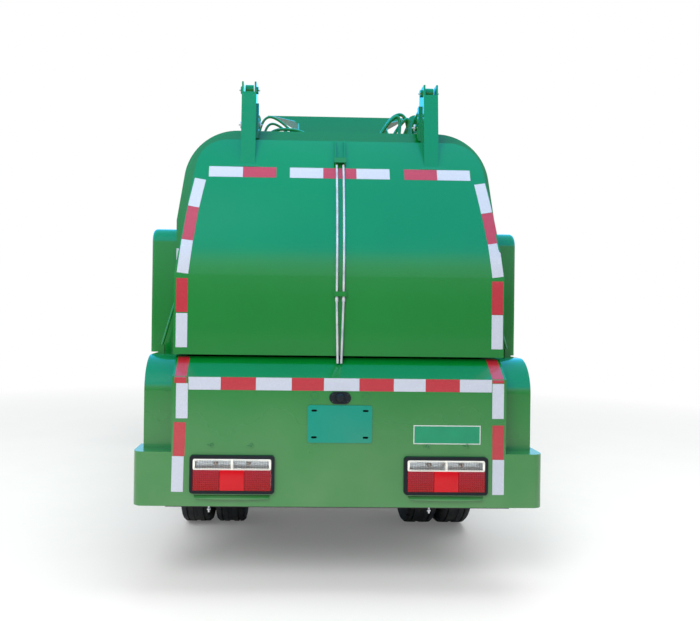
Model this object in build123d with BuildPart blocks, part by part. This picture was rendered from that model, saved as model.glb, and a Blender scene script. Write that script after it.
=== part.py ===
"""A small cab-over kitchen-waste garbage truck, all in millimetres.

X points forward, Y to the left and Z up. The origin is on the ground, under the middle
of the whole vehicle. The waste tank is emptied through a tail door hinged at its top,
and filled through a roof hopper by swing arms on the right side.
"""

import math
import os

from build123d import *

os.makedirs("parts", exist_ok=True)

# Whole vehicle
LENGTH = 4900
TAIL_X = -LENGTH / 2
NOSE_X = LENGTH / 2
JOINT_GAP = 6
SKIN = 6
SEAT_GAP = 0.3
RUN_CLEAR = 0.05

# Wheels and axles
FRONT_AXLE_X = NOSE_X - 940
REAR_AXLE_X = TAIL_X + 1160
TYRE_RADIUS = 335
TYRE_WIDTH = 170
TYRE_SHOULDER = 28
RIM_RADIUS = 205
RIM_WALL = 8
DISC_WALL = 12
SPINDLE_RADIUS = 32
HUB_RADIUS = 75
FRONT_TRACK_HALF = 700
KINGPIN_HALF = 600
KINGPIN_RADIUS = 14
YOKE_RADIUS = 26
BOSS_RADIUS = 34
DUAL_SPACING = 190
REAR_OUTER_HALF = 720
AXLE_TUBE_RADIUS = 50
SPRING_HALF = 385
SPRING_WIDTH = 60
SPRING_LEAF = 34

# Frame
RAIL_HALF = 350
RAIL_FLANGE = 60
RAIL_LOW = 520
RAIL_HEIGHT = 140
RAIL_TOP = RAIL_LOW + RAIL_HEIGHT
RAIL_REAR_X = TAIL_X + 120
RAIL_FRONT_X = NOSE_X - 150
CROSS_WIDTH = 60

# Waste tank and its rear frame
TANK_FLOOR = 900
TANK_TOP = 2070
TANK_HALF = 760
TANK_TOP_HALF = 690
TANK_LEAN_Z = TANK_TOP - 430
TANK_CORNER = 255
TANK_INSET = 26
TANK_WALL = 10
CAB_REAR_X = NOSE_X - 1570
TANK_FRONT_X = CAB_REAR_X - 180
RING_X = TAIL_X + 360
RING_DEPTH = 60
SILL_TOP = 1013
RING_LEG = 62
RIB_DEPTH = 24
RIB_WIDTH = 50

# Tail door
DOOR_REAR_X = TAIL_X + 80
DOOR_HALF = 725
DOOR_TOP_HALF = 622
DOOR_TOP = TANK_TOP - 80
DOOR_BOTTOM = 1020
DOOR_LEAN_Z = TANK_TOP - 700
DOOR_CORNER = 135
DOOR_BULGE = 1250
DOOR_FLARE = 4
DOOR_WALL = 12
HINGE_X = RING_X + 30
HINGE_Z = TANK_TOP + 36
HINGE_PIN = 14
HINGE_BOSS = 26
EAR_WIDTH = 20
LUG_DEPTH = 14

# Lever arms and door cylinders
ARM_HALF = 417
ARM_WIDTH = 66
ARM_PLATE = 8
ARM_TOP = TANK_TOP + 192
ARM_FOOT = DOOR_TOP - 118
EYE_X = TAIL_X + 280
EYE_Z = TANK_TOP + 168
EYE_RADIUS = 24
ANCHOR_X = TAIL_X + 1030
ANCHOR_Z = TANK_TOP + 80
BARREL_RADIUS = 34
BARREL_LENGTH = 400
ROD_RADIUS = 14

# Roof hopper
HOPPER_Y = -90
HOPPER_HALF = 262
HOPPER_RIM_HALF = 428
HOPPER_RIM_Z = TANK_TOP + 385
HOPPER_BEND_Z = TANK_TOP + 292
HOPPER_REAR_X = TAIL_X + 1010
HOPPER_FRONT_X = HOPPER_REAR_X + 490
HOPPER_REAR_Z = TANK_TOP + 90
HOPPER_FLARE = 190
COVER_Z = TANK_TOP - 4
COVER_THICK = 5
COVER_TRAVEL = 500

# Side lifter
SWING_Y = -690
SWING_Z = TANK_TOP + 10
SWING_TUBE = 28
BRACKET_THICK = 12
BRACKET_X = (HOPPER_REAR_X - 20, HOPPER_FRONT_X + 8)

# Side boxes
BOX_REAR_X = TAIL_X + 450
BOX_LENGTHS = (("left", 1, 670), ("right", -1, 500))

# Rear bumper and apron
BUMPER_HALF = 880
BUMPER_LOW = 380
BUMPER_TOP = 610
APRON_HALF = 715
APRON_TOP = 930
LEDGE_DEPTH = 110

# Fenders and side boxes
FENDER_HALF = 850
FENDER_TOP = 1010
FENDER_REAR_X = TAIL_X + 90
FENDER_FRONT_X = TAIL_X + 1810
FENDER_ROUND = 150
BOX_HALF = 892
BOX_TOP = 1613
BOX_TOP_ROUND = 65
BOX_EDGE_ROUND = 20

# Cab
CAB_HALF = 830
CAB_ROOF = 2050
CAB_WALL = 42
BELT_Z = 1300

SIDES = (("left", 1), ("right", -1))


def block(x, y, z, mode=Mode.ADD):
    """A box between two corners. x, y and z are pairs of values."""
    with Locations(((x[0] + x[1]) / 2, (y[0] + y[1]) / 2, (z[0] + z[1]) / 2)):
        Box(abs(x[1] - x[0]), abs(y[1] - y[0]), abs(z[1] - z[0]), mode=mode)


def side_cut(points, y, mode=Mode.ADD):
    """An outline in X and Z, extruded from one Y to another."""
    low, high = sorted(y)
    with BuildSketch(Plane.XZ.offset(-high)) as outline:
        with BuildLine():
            Polyline(*points, close=True)
        make_face()
    extrude(outline.sketch, amount=high - low, mode=mode)


def cross_cut(points, x, mode=Mode.ADD):
    """An outline in Y and Z, extruded from one X to another."""
    low, high = sorted(x)
    with BuildSketch(Plane.YZ.offset(low)) as outline:
        with BuildLine():
            Polyline(*points, close=True)
        make_face()
    extrude(outline.sketch, amount=high - low, mode=mode)


def bar(radius, start, end, mode=Mode.ADD):
    """A round bar from one point to another."""
    run = Vector(end) - Vector(start)
    with BuildSketch(Plane(origin=start, z_dir=run)) as section:
        Circle(radius)
    extrude(section.sketch, amount=run.length, mode=mode)


def mirrored(points):
    """A half outline on the left, closed with its own mirror image."""
    return list(points) + [(-y, z) for y, z in reversed(points)]


# Frame: two channel rails joined by cross members
WEB = 6
with BuildPart() as chassis_frame:
    for name, side in SIDES:
        outer = side * RAIL_HALF
        inner = side * (RAIL_HALF - RAIL_FLANGE)
        block((RAIL_REAR_X, RAIL_FRONT_X), (outer, outer - side * WEB), (RAIL_LOW, RAIL_TOP))
        block((RAIL_REAR_X, RAIL_FRONT_X), (outer, inner), (RAIL_LOW, RAIL_LOW + WEB))
        block((RAIL_REAR_X, RAIL_FRONT_X), (outer, inner), (RAIL_TOP - WEB, RAIL_TOP))
    cross_places = (
        RAIL_REAR_X + 60, REAR_AXLE_X - 410, REAR_AXLE_X + 390, (REAR_AXLE_X + CAB_REAR_X) / 2,
        CAB_REAR_X - 380,
        CAB_REAR_X + 10, RAIL_FRONT_X - 60,
    )
    for cross_x in cross_places:
        span = RAIL_HALF - WEB
        block((cross_x, cross_x + WEB), (-span, span), (RAIL_LOW + WEB, RAIL_TOP - WEB))
        for low in (RAIL_LOW + WEB, RAIL_TOP - 2 * WEB):
            block((cross_x, cross_x + CROSS_WIDTH), (-span, span), (low, low + WEB))
chassis_frame.part.label = "chassis_frame"
export_step(chassis_frame.part, "parts/chassis_frame.step")


def leaf_spring(centre_x, side, reach, axle_top):
    """A leaf spring with its end hangers and its seat on the axle."""
    rise = RAIL_LOW - SPRING_LEAF - axle_top - 36
    low = axle_top + 30
    half = SPRING_WIDTH / 2
    y = (side * (SPRING_HALF - half), side * (SPRING_HALF + half))
    outline = [
        (centre_x - reach, low + rise),
        (centre_x - reach / 2, low + rise / 4),
        (centre_x, low),
        (centre_x + reach / 2, low + rise / 4),
        (centre_x + reach, low + rise),
        (centre_x + reach, low + rise + SPRING_LEAF),
        (centre_x + reach / 2, low + rise / 4 + SPRING_LEAF),
        (centre_x, low + SPRING_LEAF * 1.4),
        (centre_x - reach / 2, low + rise / 4 + SPRING_LEAF),
        (centre_x - reach, low + rise + SPRING_LEAF),
    ]
    side_cut(outline, y)
    block((centre_x - 45, centre_x + 45), y, (axle_top - 20, low + 4))
    for end in (-1, 1):
        end_x = centre_x + end * reach
        hanger = (side * RAIL_HALF, side * (SPRING_HALF + half))
        block((end_x, end_x - end * 60), hanger, (low + rise + SPRING_LEAF - 20, RAIL_LOW + 70))
        bar(22, (end_x - end * 30, y[0], low + rise + 8), (end_x - end * 30, y[1], low + rise + 8))


# Front axle: dropped beam, kingpin yokes and leaf springs
BEAM_HALF_X = 32
YOKE_Z = (305, 365)
FORK_Z = (262, 408)
with BuildPart() as front_axle:
    beam = mirrored(
        [(330, 275), (470, 310), (530, 310), (530, 360), (440, 360), (320, 330)]
    )
    cross_cut(beam, (FRONT_AXLE_X - BEAM_HALF_X, FRONT_AXLE_X + BEAM_HALF_X))
    for name, side in SIDES:
        leaf_spring(FRONT_AXLE_X, side, 520, 345)
        kingpin = (FRONT_AXLE_X, side * KINGPIN_HALF)
        beam_end = (side * 520, side * (KINGPIN_HALF - 10))
        block((FRONT_AXLE_X - YOKE_RADIUS, FRONT_AXLE_X + YOKE_RADIUS), beam_end, YOKE_Z)
        bar(YOKE_RADIUS, (*kingpin, YOKE_Z[0]), (*kingpin, YOKE_Z[1]))
        bar(KINGPIN_RADIUS, (*kingpin, FORK_Z[0]), (*kingpin, FORK_Z[1]))
front_axle.part.label = "front_axle"
export_step(front_axle.part, "parts/front_axle.step")

# Rear axle: tube, differential, spindles, leaf springs and the propeller shaft
with BuildPart() as rear_axle:
    bar(AXLE_TUBE_RADIUS, (REAR_AXLE_X, -430, TYRE_RADIUS), (REAR_AXLE_X, 430, TYRE_RADIUS))
    bar(SPINDLE_RADIUS, (REAR_AXLE_X, -760, TYRE_RADIUS), (REAR_AXLE_X, 760, TYRE_RADIUS))
    with Locations((REAR_AXLE_X, 0, TYRE_RADIUS)):
        Sphere(135)
    bar(90, (REAR_AXLE_X - 150, 0, TYRE_RADIUS), (REAR_AXLE_X + 60, 0, TYRE_RADIUS))
    bar(52, (REAR_AXLE_X, 0, TYRE_RADIUS + 5), (REAR_AXLE_X + 210, 0, TYRE_RADIUS + 15))
    for name, side in SIDES:
        leaf_spring(REAR_AXLE_X, side, 560, 385)
rear_axle.part.label = "rear_axle"
export_step(rear_axle.part, "parts/rear_axle.step")

# Knuckles: a fork boss round the kingpin and a spindle out to the hub
for name, side in SIDES:
    with BuildPart() as knuckle:
        hub_in = side * (FRONT_TRACK_HALF - 55)
        web_x = (FRONT_AXLE_X - 30, FRONT_AXLE_X + 30)
        for low, high in ((FORK_Z[0], YOKE_Z[0] - JOINT_GAP), (YOKE_Z[1] + JOINT_GAP, FORK_Z[1])):
            kingpin = (FRONT_AXLE_X, side * KINGPIN_HALF)
            bar(BOSS_RADIUS, (*kingpin, low), (*kingpin, high))
            block(web_x, (side * (KINGPIN_HALF + 10), hub_in), (low, high))
        block(web_x, (side * (KINGPIN_HALF + YOKE_RADIUS + JOINT_GAP), hub_in), FORK_Z)
        bar(
            SPINDLE_RADIUS,
            (FRONT_AXLE_X, hub_in, TYRE_RADIUS),
            (FRONT_AXLE_X, side * (FRONT_TRACK_HALF + 60), TYRE_RADIUS),
        )
        bar(
            KINGPIN_RADIUS + RUN_CLEAR,
            (FRONT_AXLE_X, side * KINGPIN_HALF, 250),
            (FRONT_AXLE_X, side * KINGPIN_HALF, 420),
            Mode.SUBTRACT,
        )
    knuckle.part.label = f"knuckle_{name}"
    export_step(knuckle.part, f"parts/knuckle_{name}.step")


def ring_of(points, centre_x, mode=Mode.ADD):
    """A body of revolution round a wheel's axle, from its outline in Y and radius."""
    with BuildSketch(Plane.YZ.offset(centre_x)) as half:
        with BuildLine():
            Polyline(*[(y, TYRE_RADIUS + r) for y, r in points], close=True)
        make_face()
    revolve(half.sketch, axis=Axis((centre_x, 0, TYRE_RADIUS), (0, 1, 0)), mode=mode)


def tyre_outline(centre):
    """A tyre's half section: bead, wall, shoulder and tread."""
    half = TYRE_WIDTH / 2
    bead = RIM_RADIUS + RIM_WALL + SEAT_GAP
    wall = TYRE_RADIUS - TYRE_SHOULDER
    left = [(-half + 12, bead), (-half, bead + 45), (-half + 4, wall), (-half + 22, TYRE_RADIUS)]
    right = [(-y, r) for y, r in reversed(left)]
    return [(centre + y, r) for y, r in left + right]


def rim_outline(centre, side, disc):
    """A rim with its flanges and the disc that bolts to the hub."""
    half = TYRE_WIDTH / 2
    bore = SPINDLE_RADIUS + RUN_CLEAR
    face = side * disc
    points = [
        (half - 8, RIM_RADIUS), (half - 8, RIM_RADIUS + RIM_WALL), (8 - half, RIM_RADIUS + RIM_WALL),
        (8 - half, RIM_RADIUS),
    ]
    barrel = [(centre + side * y, r) for y, r in points]
    web = [
        (face, bore), (face, RIM_RADIUS + 2), (face - side * DISC_WALL, RIM_RADIUS + 2),
        (face - side * DISC_WALL, bore),
    ]
    return barrel, web


# Wheels: name of the corner, side, axle, tyre centres
WHEELS = (
    ("front_left", 1, FRONT_AXLE_X, (FRONT_TRACK_HALF,)),
    ("front_right", -1, FRONT_AXLE_X, (FRONT_TRACK_HALF,)),
    ("rear_left", 1, REAR_AXLE_X, (REAR_OUTER_HALF, REAR_OUTER_HALF - DUAL_SPACING)),
    ("rear_right", -1, REAR_AXLE_X, (REAR_OUTER_HALF, REAR_OUTER_HALF - DUAL_SPACING)),
)
HAND_HOLES = 6
HAND_HOLE_RADIUS = 24
HAND_HOLE_CIRCLE = 150
for corner, side, axle_x, centres in WHEELS:
    front = len(centres) == 1
    with BuildPart() as tyre:
        for centre in centres:
            ring_of(tyre_outline(side * centre), axle_x)
    tyre.part.label = f"tyre_{corner}"
    export_step(tyre.part, f"parts/tyre_{corner}.step")

    with BuildPart() as rim:
        for centre in centres:
            outboard = centre == max(centres)
            disc = centre + (35 if front else (-45 if outboard else 45))
            barrel, web = rim_outline(side * centre, side, disc)
            ring_of(barrel, axle_x)
            ring_of(web, axle_x)
        hub_in = FRONT_TRACK_HALF - 50 if front else min(centres) - 60
        hub_out = max(centres) + (62 if front else 52)
        bore = SPINDLE_RADIUS + RUN_CLEAR
        hub = [
            (side * hub_in, bore), (side * hub_in, HUB_RADIUS), (side * hub_out, HUB_RADIUS),
            (side * hub_out, bore),
        ]
        ring_of(hub, axle_x)
        cap = [
            (side * hub_out, 0), (side * hub_out, 52), (side * (hub_out + 22), 44),
            (side * (hub_out + 22), 0),
        ]
        ring_of(cap, axle_x)
        bar(bore, (axle_x, side * hub_in, TYRE_RADIUS), (axle_x, side * hub_out, TYRE_RADIUS), Mode.SUBTRACT)
        with BuildSketch(Plane.XZ) as holes:
            with Locations((axle_x, TYRE_RADIUS)):
                with PolarLocations(HAND_HOLE_CIRCLE, HAND_HOLES):
                    Circle(HAND_HOLE_RADIUS)
        extrude(holes.sketch, amount=-side * 1000, mode=Mode.SUBTRACT)
    rim.part.label = f"rim_{corner}"
    export_step(rim.part, f"parts/rim_{corner}.step")

# Engine: one plain block between the rails, under the cab
ENGINE_X = (FRONT_AXLE_X - 280, FRONT_AXLE_X + 370)
ENGINE_HALF = 250
with BuildPart() as engine:
    block((ENGINE_X[0], ENGINE_X[1]), (-ENGINE_HALF, ENGINE_HALF), (470, 715))
    block((ENGINE_X[0] - 230, ENGINE_X[0]), (-150, 150), (500, 650))
    for side in (-1, 1):
        mount_y = (side * ENGINE_HALF, side * (RAIL_HALF - WEB))
        block((FRONT_AXLE_X - 10, FRONT_AXLE_X + 90), mount_y, (RAIL_LOW + 40, RAIL_TOP - 40))
engine.part.label = "engine"
export_step(engine.part, "parts/engine.step")

# Fuel tank on the left rail and exhaust silencer on the right one
FUEL_X = (CAB_REAR_X - 630, CAB_REAR_X - 30)
with BuildPart() as fuel_tank:
    block(FUEL_X, (RAIL_HALF + 30, RAIL_HALF + 330), (380, 640))
    fillet(fuel_tank.edges().filter_by(Axis.X), 45)
    for strap_x in (FUEL_X[0] + 90, FUEL_X[1] - 130):
        block((strap_x, strap_x + 40), (RAIL_HALF, RAIL_HALF + 40), (540, 600))
    bar(38, (FUEL_X[1] - 90, RAIL_HALF + 260, 630), (FUEL_X[1] - 90, RAIL_HALF + 260, 668))
fuel_tank.part.label = "fuel_tank"
export_step(fuel_tank.part, "parts/fuel_tank.step")

SILENCER_X = (CAB_REAR_X - 620, CAB_REAR_X - 160)
SILENCER_Y = -520
SILENCER_Z = 450
PIPE = 24
DOWN_PIPE_X = CAB_REAR_X + 50
DOWN_PIPE_Y = -200
TAIL_PIPE_X = CAB_REAR_X - 1060
with BuildPart() as exhaust:
    bar(85, (SILENCER_X[0], SILENCER_Y, SILENCER_Z), (SILENCER_X[1], SILENCER_Y, SILENCER_Z))
    for strap_x in (SILENCER_X[0] + 70, SILENCER_X[1] - 100):
        block((strap_x, strap_x + 40), (-RAIL_HALF, -450), (540, 570))
        block((strap_x, strap_x + 40), (-540, -440), (500, 570))
    bar(PIPE, (TAIL_PIPE_X, SILENCER_Y, 430), (SILENCER_X[0] + 2, SILENCER_Y, 430))
    bar(PIPE, (SILENCER_X[1] - 2, SILENCER_Y, SILENCER_Z), (DOWN_PIPE_X + PIPE, SILENCER_Y, SILENCER_Z))
    bar(PIPE, (DOWN_PIPE_X, SILENCER_Y, SILENCER_Z), (DOWN_PIPE_X, DOWN_PIPE_Y, 480))
    bar(PIPE, (DOWN_PIPE_X - PIPE, DOWN_PIPE_Y, 480), (ENGINE_X[0] - 1.5, DOWN_PIPE_Y, 495))
    bar(PIPE, (TAIL_PIPE_X + 20, SILENCER_Y - 10, 430), (TAIL_PIPE_X + 20, -700, 400))
exhaust.part.label = "exhaust"
export_step(exhaust.part, "parts/exhaust.step")

# Body subframe on the rails: two long beams and the cross beams under the tank
SUB_TOP = 780
BEAMS = 6
BEAM_HALF = 690
with BuildPart() as body_subframe:
    for name, side in SIDES:
        outer = side * (RAIL_HALF - 5)
        block((RAIL_REAR_X, TANK_FRONT_X), (outer, outer - side * 70), (RAIL_TOP, SUB_TOP))
    first_beam = RING_X - 50
    pitch = (TANK_FRONT_X - 180 - first_beam) / (BEAMS - 1)
    for count in range(BEAMS):
        beam_x = first_beam + count * pitch
        block((beam_x, beam_x + 70), (-BEAM_HALF, BEAM_HALF), (SUB_TOP - 14, TANK_FLOOR))
        for side in (-1, 1):
            overhang = (side * BEAM_HALF, side * (RAIL_HALF - 5))
            for low in (0, 41):
                flute = (beam_x + low, beam_x + low + 29)
                block(flute, overhang, (SUB_TOP, TANK_FLOOR - 12), Mode.SUBTRACT)
body_subframe.part.label = "body_subframe"
export_step(body_subframe.part, "parts/body_subframe.step")


def body_section(inset, x, sill, mode=Mode.ADD):
    """The body's cross-section, drawn in by an inset, extruded between two X values."""
    low, high = sorted(x)
    half = TANK_HALF - inset
    top_half = TANK_TOP_HALF - inset
    outline = mirrored([(half, sill), (half, TANK_LEAN_Z), (top_half, TANK_TOP - inset)])
    with BuildSketch(Plane.YZ.offset(low)) as section:
        with BuildLine():
            Polyline(*outline, close=True)
        make_face()
        fillet(section.vertices().group_by(Axis.Y)[-1], max(TANK_CORNER - inset, 20))
    extrude(section.sketch, amount=high - low, mode=mode)


# Waste tank: open at the tail, with the hopper's throat cut in its roof
THROAT_X = (HOPPER_REAR_X + 10, HOPPER_FRONT_X - 10)
THROAT_Y = (HOPPER_Y - HOPPER_HALF + 10, HOPPER_Y + HOPPER_HALF - 10)
TANK_SKIN_TOP = TANK_TOP - TANK_INSET
RIBS = 4
FIRST_RIB_X = HOPPER_FRONT_X + COVER_TRAVEL + 10
RIB_PITCH = (TANK_FRONT_X - RIB_WIDTH - FIRST_RIB_X) / (RIBS - 1)
with BuildPart() as tank_shell:
    body_section(TANK_INSET, (RING_X + RING_DEPTH, TANK_FRONT_X), TANK_FLOOR)
    for count in range(RIBS):
        rib_x = FIRST_RIB_X + count * RIB_PITCH
        body_section(TANK_INSET - RIB_DEPTH, (rib_x, rib_x + RIB_WIDTH), TANK_FLOOR)
    inset = TANK_INSET + TANK_WALL
    body_section(inset, (RING_X, TANK_FRONT_X - TANK_WALL), TANK_FLOOR + TANK_WALL, Mode.SUBTRACT)
    block(THROAT_X, THROAT_Y, (TANK_TOP - 100, TANK_TOP), Mode.SUBTRACT)
tank_shell.part.label = "tank_shell"
export_step(tank_shell.part, "parts/tank_shell.step")

# Rear frame of the body: the ring that the tail door closes on, with the hinge ears
with BuildPart() as rear_ring:
    body_section(0, (RING_X, RING_X + RING_DEPTH), TANK_FLOOR)
    body_section(RING_LEG, (RING_X - 1, RING_X + RING_DEPTH + 1), SILL_TOP, Mode.SUBTRACT)
    for name, side in SIDES:
        ear_y = (side * ARM_HALF - EAR_WIDTH / 2, side * ARM_HALF + EAR_WIDTH / 2)
        block((HINGE_X - HINGE_BOSS, HINGE_X + HINGE_BOSS), ear_y, (TANK_TOP - 30, HINGE_Z))
        bar(HINGE_BOSS, (HINGE_X, ear_y[0], HINGE_Z), (HINGE_X, ear_y[1], HINGE_Z))
        pin_y = (side * ARM_HALF - ARM_WIDTH / 2 - 8, side * ARM_HALF + ARM_WIDTH / 2 + 8)
        bar(HINGE_PIN, (HINGE_X, pin_y[0], HINGE_Z), (HINGE_X, pin_y[1], HINGE_Z))
rear_ring.part.label = "rear_ring"
export_step(rear_ring.part, "parts/rear_ring.step")


def door_rear(height):
    """The X of the tail door's bulged rear face at a height above its straight part."""
    return DOOR_REAR_X + DOOR_BULGE - math.sqrt(DOOR_BULGE**2 - (height - DOOR_LEAN_Z) ** 2)


def door_form(inset):
    """The tail door's bulged form, drawn in by an inset, up to the ring."""
    rear = DOOR_REAR_X + inset
    radius = DOOR_BULGE - inset
    top = DOOR_TOP + 20 - inset
    low = DOOR_BOTTOM + inset
    front = RING_X - JOINT_GAP + (1 if inset else 0)
    top_x = rear + radius - math.sqrt(radius**2 - (top - DOOR_LEAN_Z) ** 2)
    half_angle = math.asin((top - DOOR_LEAN_Z) / radius) / 2
    middle = (rear + radius * (1 - math.cos(half_angle)), DOOR_LEAN_Z + radius * math.sin(half_angle))
    outline = mirrored(
        [
            (DOOR_HALF - inset, DOOR_BOTTOM - 30),
            (DOOR_HALF - inset, DOOR_LEAN_Z),
            (DOOR_TOP_HALF - inset, DOOR_TOP - inset),
        ]
    )
    with BuildPart() as form:
        with BuildSketch(Plane.YZ.offset(rear)) as face:
            with BuildLine():
                Polyline(*outline, close=True)
            make_face()
            fillet(face.vertices().group_by(Axis.Y)[-1], DOOR_CORNER - inset)
        extrude(face.sketch, amount=front - rear, taper=-DOOR_FLARE)
        with BuildSketch(Plane.XZ.offset(-TANK_HALF)) as side:
            with BuildLine():
                Line((rear, low), (rear, DOOR_LEAN_Z))
                ThreePointArc((rear, DOOR_LEAN_Z), middle, (top_x, top))
                Polyline((top_x, top), (front, top), (front, low), (rear, low))
            make_face()
        extrude(side.sketch, amount=2 * TANK_HALF, mode=Mode.INTERSECT)
    return form.part


# Tail door: a hollow bulged shell with a flange, lever arms and the hinge lugs
door_outer = door_form(0)
door_inner = door_form(DOOR_WALL)
ARM_SINK = 2.8
ARM_REAR_FOOT = door_rear(ARM_FOOT) + ARM_SINK
ARM_REAR_TOP = ARM_REAR_FOOT + 37
ARM_FRONT = RING_X - 28
ARM_SLOT = 47
arm_outline = [
    (ARM_REAR_FOOT, ARM_FOOT),
    (ARM_REAR_TOP, ARM_TOP),
    (ARM_FRONT, ARM_TOP),
    (ARM_FRONT + 6, HINGE_Z + 50),
    (HINGE_X, HINGE_Z + HINGE_BOSS),
    (HINGE_X, HINGE_Z - HINGE_BOSS),
    (RING_X - 14, HINGE_Z - 30),
    (RING_X - 88, DOOR_TOP + 6),
    (ARM_REAR_FOOT + 12, ARM_FOOT + 16),
]
slope = (ARM_REAR_TOP - ARM_REAR_FOOT) / (ARM_TOP - ARM_FOOT)
slot_x = ARM_REAR_TOP - ARM_SLOT * slope
arm_rear_plate = [
    (ARM_REAR_FOOT, ARM_FOOT),
    (slot_x, ARM_TOP - ARM_SLOT),
    (slot_x + ARM_PLATE, ARM_TOP - ARM_SLOT),
    (ARM_REAR_FOOT + ARM_PLATE, ARM_FOOT),
]
arm_foot = [
    (ARM_REAR_FOOT - 8, ARM_FOOT - 8),
    (ARM_REAR_FOOT + 66, DOOR_TOP - 2),
    (ARM_REAR_FOOT + 74, DOOR_TOP - 4),
    (ARM_REAR_FOOT + 2, ARM_FOOT - 10),
]
arm_gusset = [
    (ARM_FRONT - 40, ARM_TOP - 80),
    (ARM_FRONT - 6, ARM_TOP - 80),
    (ARM_FRONT, DOOR_TOP + 60),
    (ARM_FRONT - 40, DOOR_TOP + 30),
]
FLANGE_X = (RING_X - JOINT_GAP - DOOR_WALL, RING_X - JOINT_GAP)
CLAMP_LOW = (DOOR_LEAN_Z - 90, DOOR_TOP - 104)
CLAMP_HIGH = 22
PIPE_HALF = 15
PIPE_RADIUS = 5
PIPE_STAND = 9
PIPE_X = DOOR_REAR_X - PIPE_STAND
with BuildPart() as tail_door:
    add(door_outer)
    body_section(24, FLANGE_X, DOOR_BOTTOM)
    add(door_inner, mode=Mode.SUBTRACT)
    for name, side in SIDES:
        inner_y = side * (ARM_HALF - ARM_WIDTH / 2)
        outer_y = side * (ARM_HALF + ARM_WIDTH / 2)
        for face_y, inward in ((inner_y, side), (outer_y, -side)):
            side_cut(arm_outline, (face_y, face_y + inward * ARM_PLATE))
            bar(17, (EYE_X, face_y, EYE_Z), (EYE_X, face_y - inward * 8, EYE_Z))
            boss_end = face_y + inward * (ARM_PLATE + LUG_DEPTH)
            bar(HINGE_BOSS, (HINGE_X, face_y, HINGE_Z), (HINGE_X, boss_end, HINGE_Z))
        side_cut(arm_rear_plate, (inner_y, outer_y))
        side_cut(arm_foot, (inner_y - side * 22, outer_y + side * 34))
        side_cut(arm_gusset, (inner_y, inner_y - side * 10))
        bar(
            HINGE_PIN + RUN_CLEAR,
            (HINGE_X, side * (ARM_HALF - ARM_WIDTH), HINGE_Z),
            (HINGE_X, side * (ARM_HALF + ARM_WIDTH), HINGE_Z),
            Mode.SUBTRACT,
        )
    low_clamp, high_clamp = CLAMP_LOW
    high_wall = door_rear(high_clamp)
    for rib_y in (-24, 18):
        rib = [
            (high_wall - 24, DOOR_TOP - 110),
            (high_wall + 32, DOOR_TOP + 10),
            (high_wall + 68, DOOR_TOP + 10),
            (high_wall + 68, DOOR_TOP - 2),
            (high_wall + 2, DOOR_TOP - 122),
        ]
        side_cut(rib, (rib_y, rib_y + 6))
    block((DOOR_REAR_X - 18, DOOR_REAR_X + 4), (-27, 27), (low_clamp, low_clamp + CLAMP_HIGH))
    block((high_wall - 26, high_wall + 6), (-27, 27), (high_clamp, high_clamp + CLAMP_HIGH))
    for pipe_y in (-PIPE_HALF, PIPE_HALF):
        hole = ((PIPE_X, pipe_y, low_clamp - 10), (PIPE_X, pipe_y, low_clamp + CLAMP_HIGH + 8))
        bar(PIPE_RADIUS + SEAT_GAP, *hole, Mode.SUBTRACT)
tail_door.part.label = "tail_door"
export_step(tail_door.part, "parts/tail_door.step")

# Two hydraulic pipes down the middle of the tail door, bent along its bulge
PIPE_BEND_Z = CLAMP_LOW[0] - 12
PIPE_END_Z = DOOR_BOTTOM - 32
PIPE_ARC = math.degrees(math.asin((CLAMP_LOW[1] - 14 - DOOR_LEAN_Z) / DOOR_BULGE))
with BuildPart() as door_pipes:
    for side in (-1, 1):
        bend = (PIPE_X, side * PIPE_HALF, PIPE_BEND_Z)
        bar(PIPE_RADIUS, bend, (PIPE_X, side * PIPE_HALF, DOOR_LEAN_Z))
        bar(PIPE_RADIUS, (PIPE_X - 4, side * 8, PIPE_END_Z), bend)
        nut_low = (PIPE_X, side * PIPE_HALF, PIPE_BEND_Z - 10)
        bar(PIPE_RADIUS + 2, nut_low, (PIPE_X, side * PIPE_HALF, PIPE_BEND_Z + 7))
        with BuildSketch(Plane.XY.offset(DOOR_LEAN_Z)) as pipe_end:
            with Locations((PIPE_X, side * PIPE_HALF)):
                Circle(PIPE_RADIUS)
        bulge_axis = Axis((DOOR_REAR_X + DOOR_BULGE, 0, DOOR_LEAN_Z), (0, 1, 0))
        revolve(pipe_end.sketch, axis=bulge_axis, revolution_arc=PIPE_ARC)
door_pipes.part.label = "door_pipes"
export_step(door_pipes.part, "parts/door_pipes.step")

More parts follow.
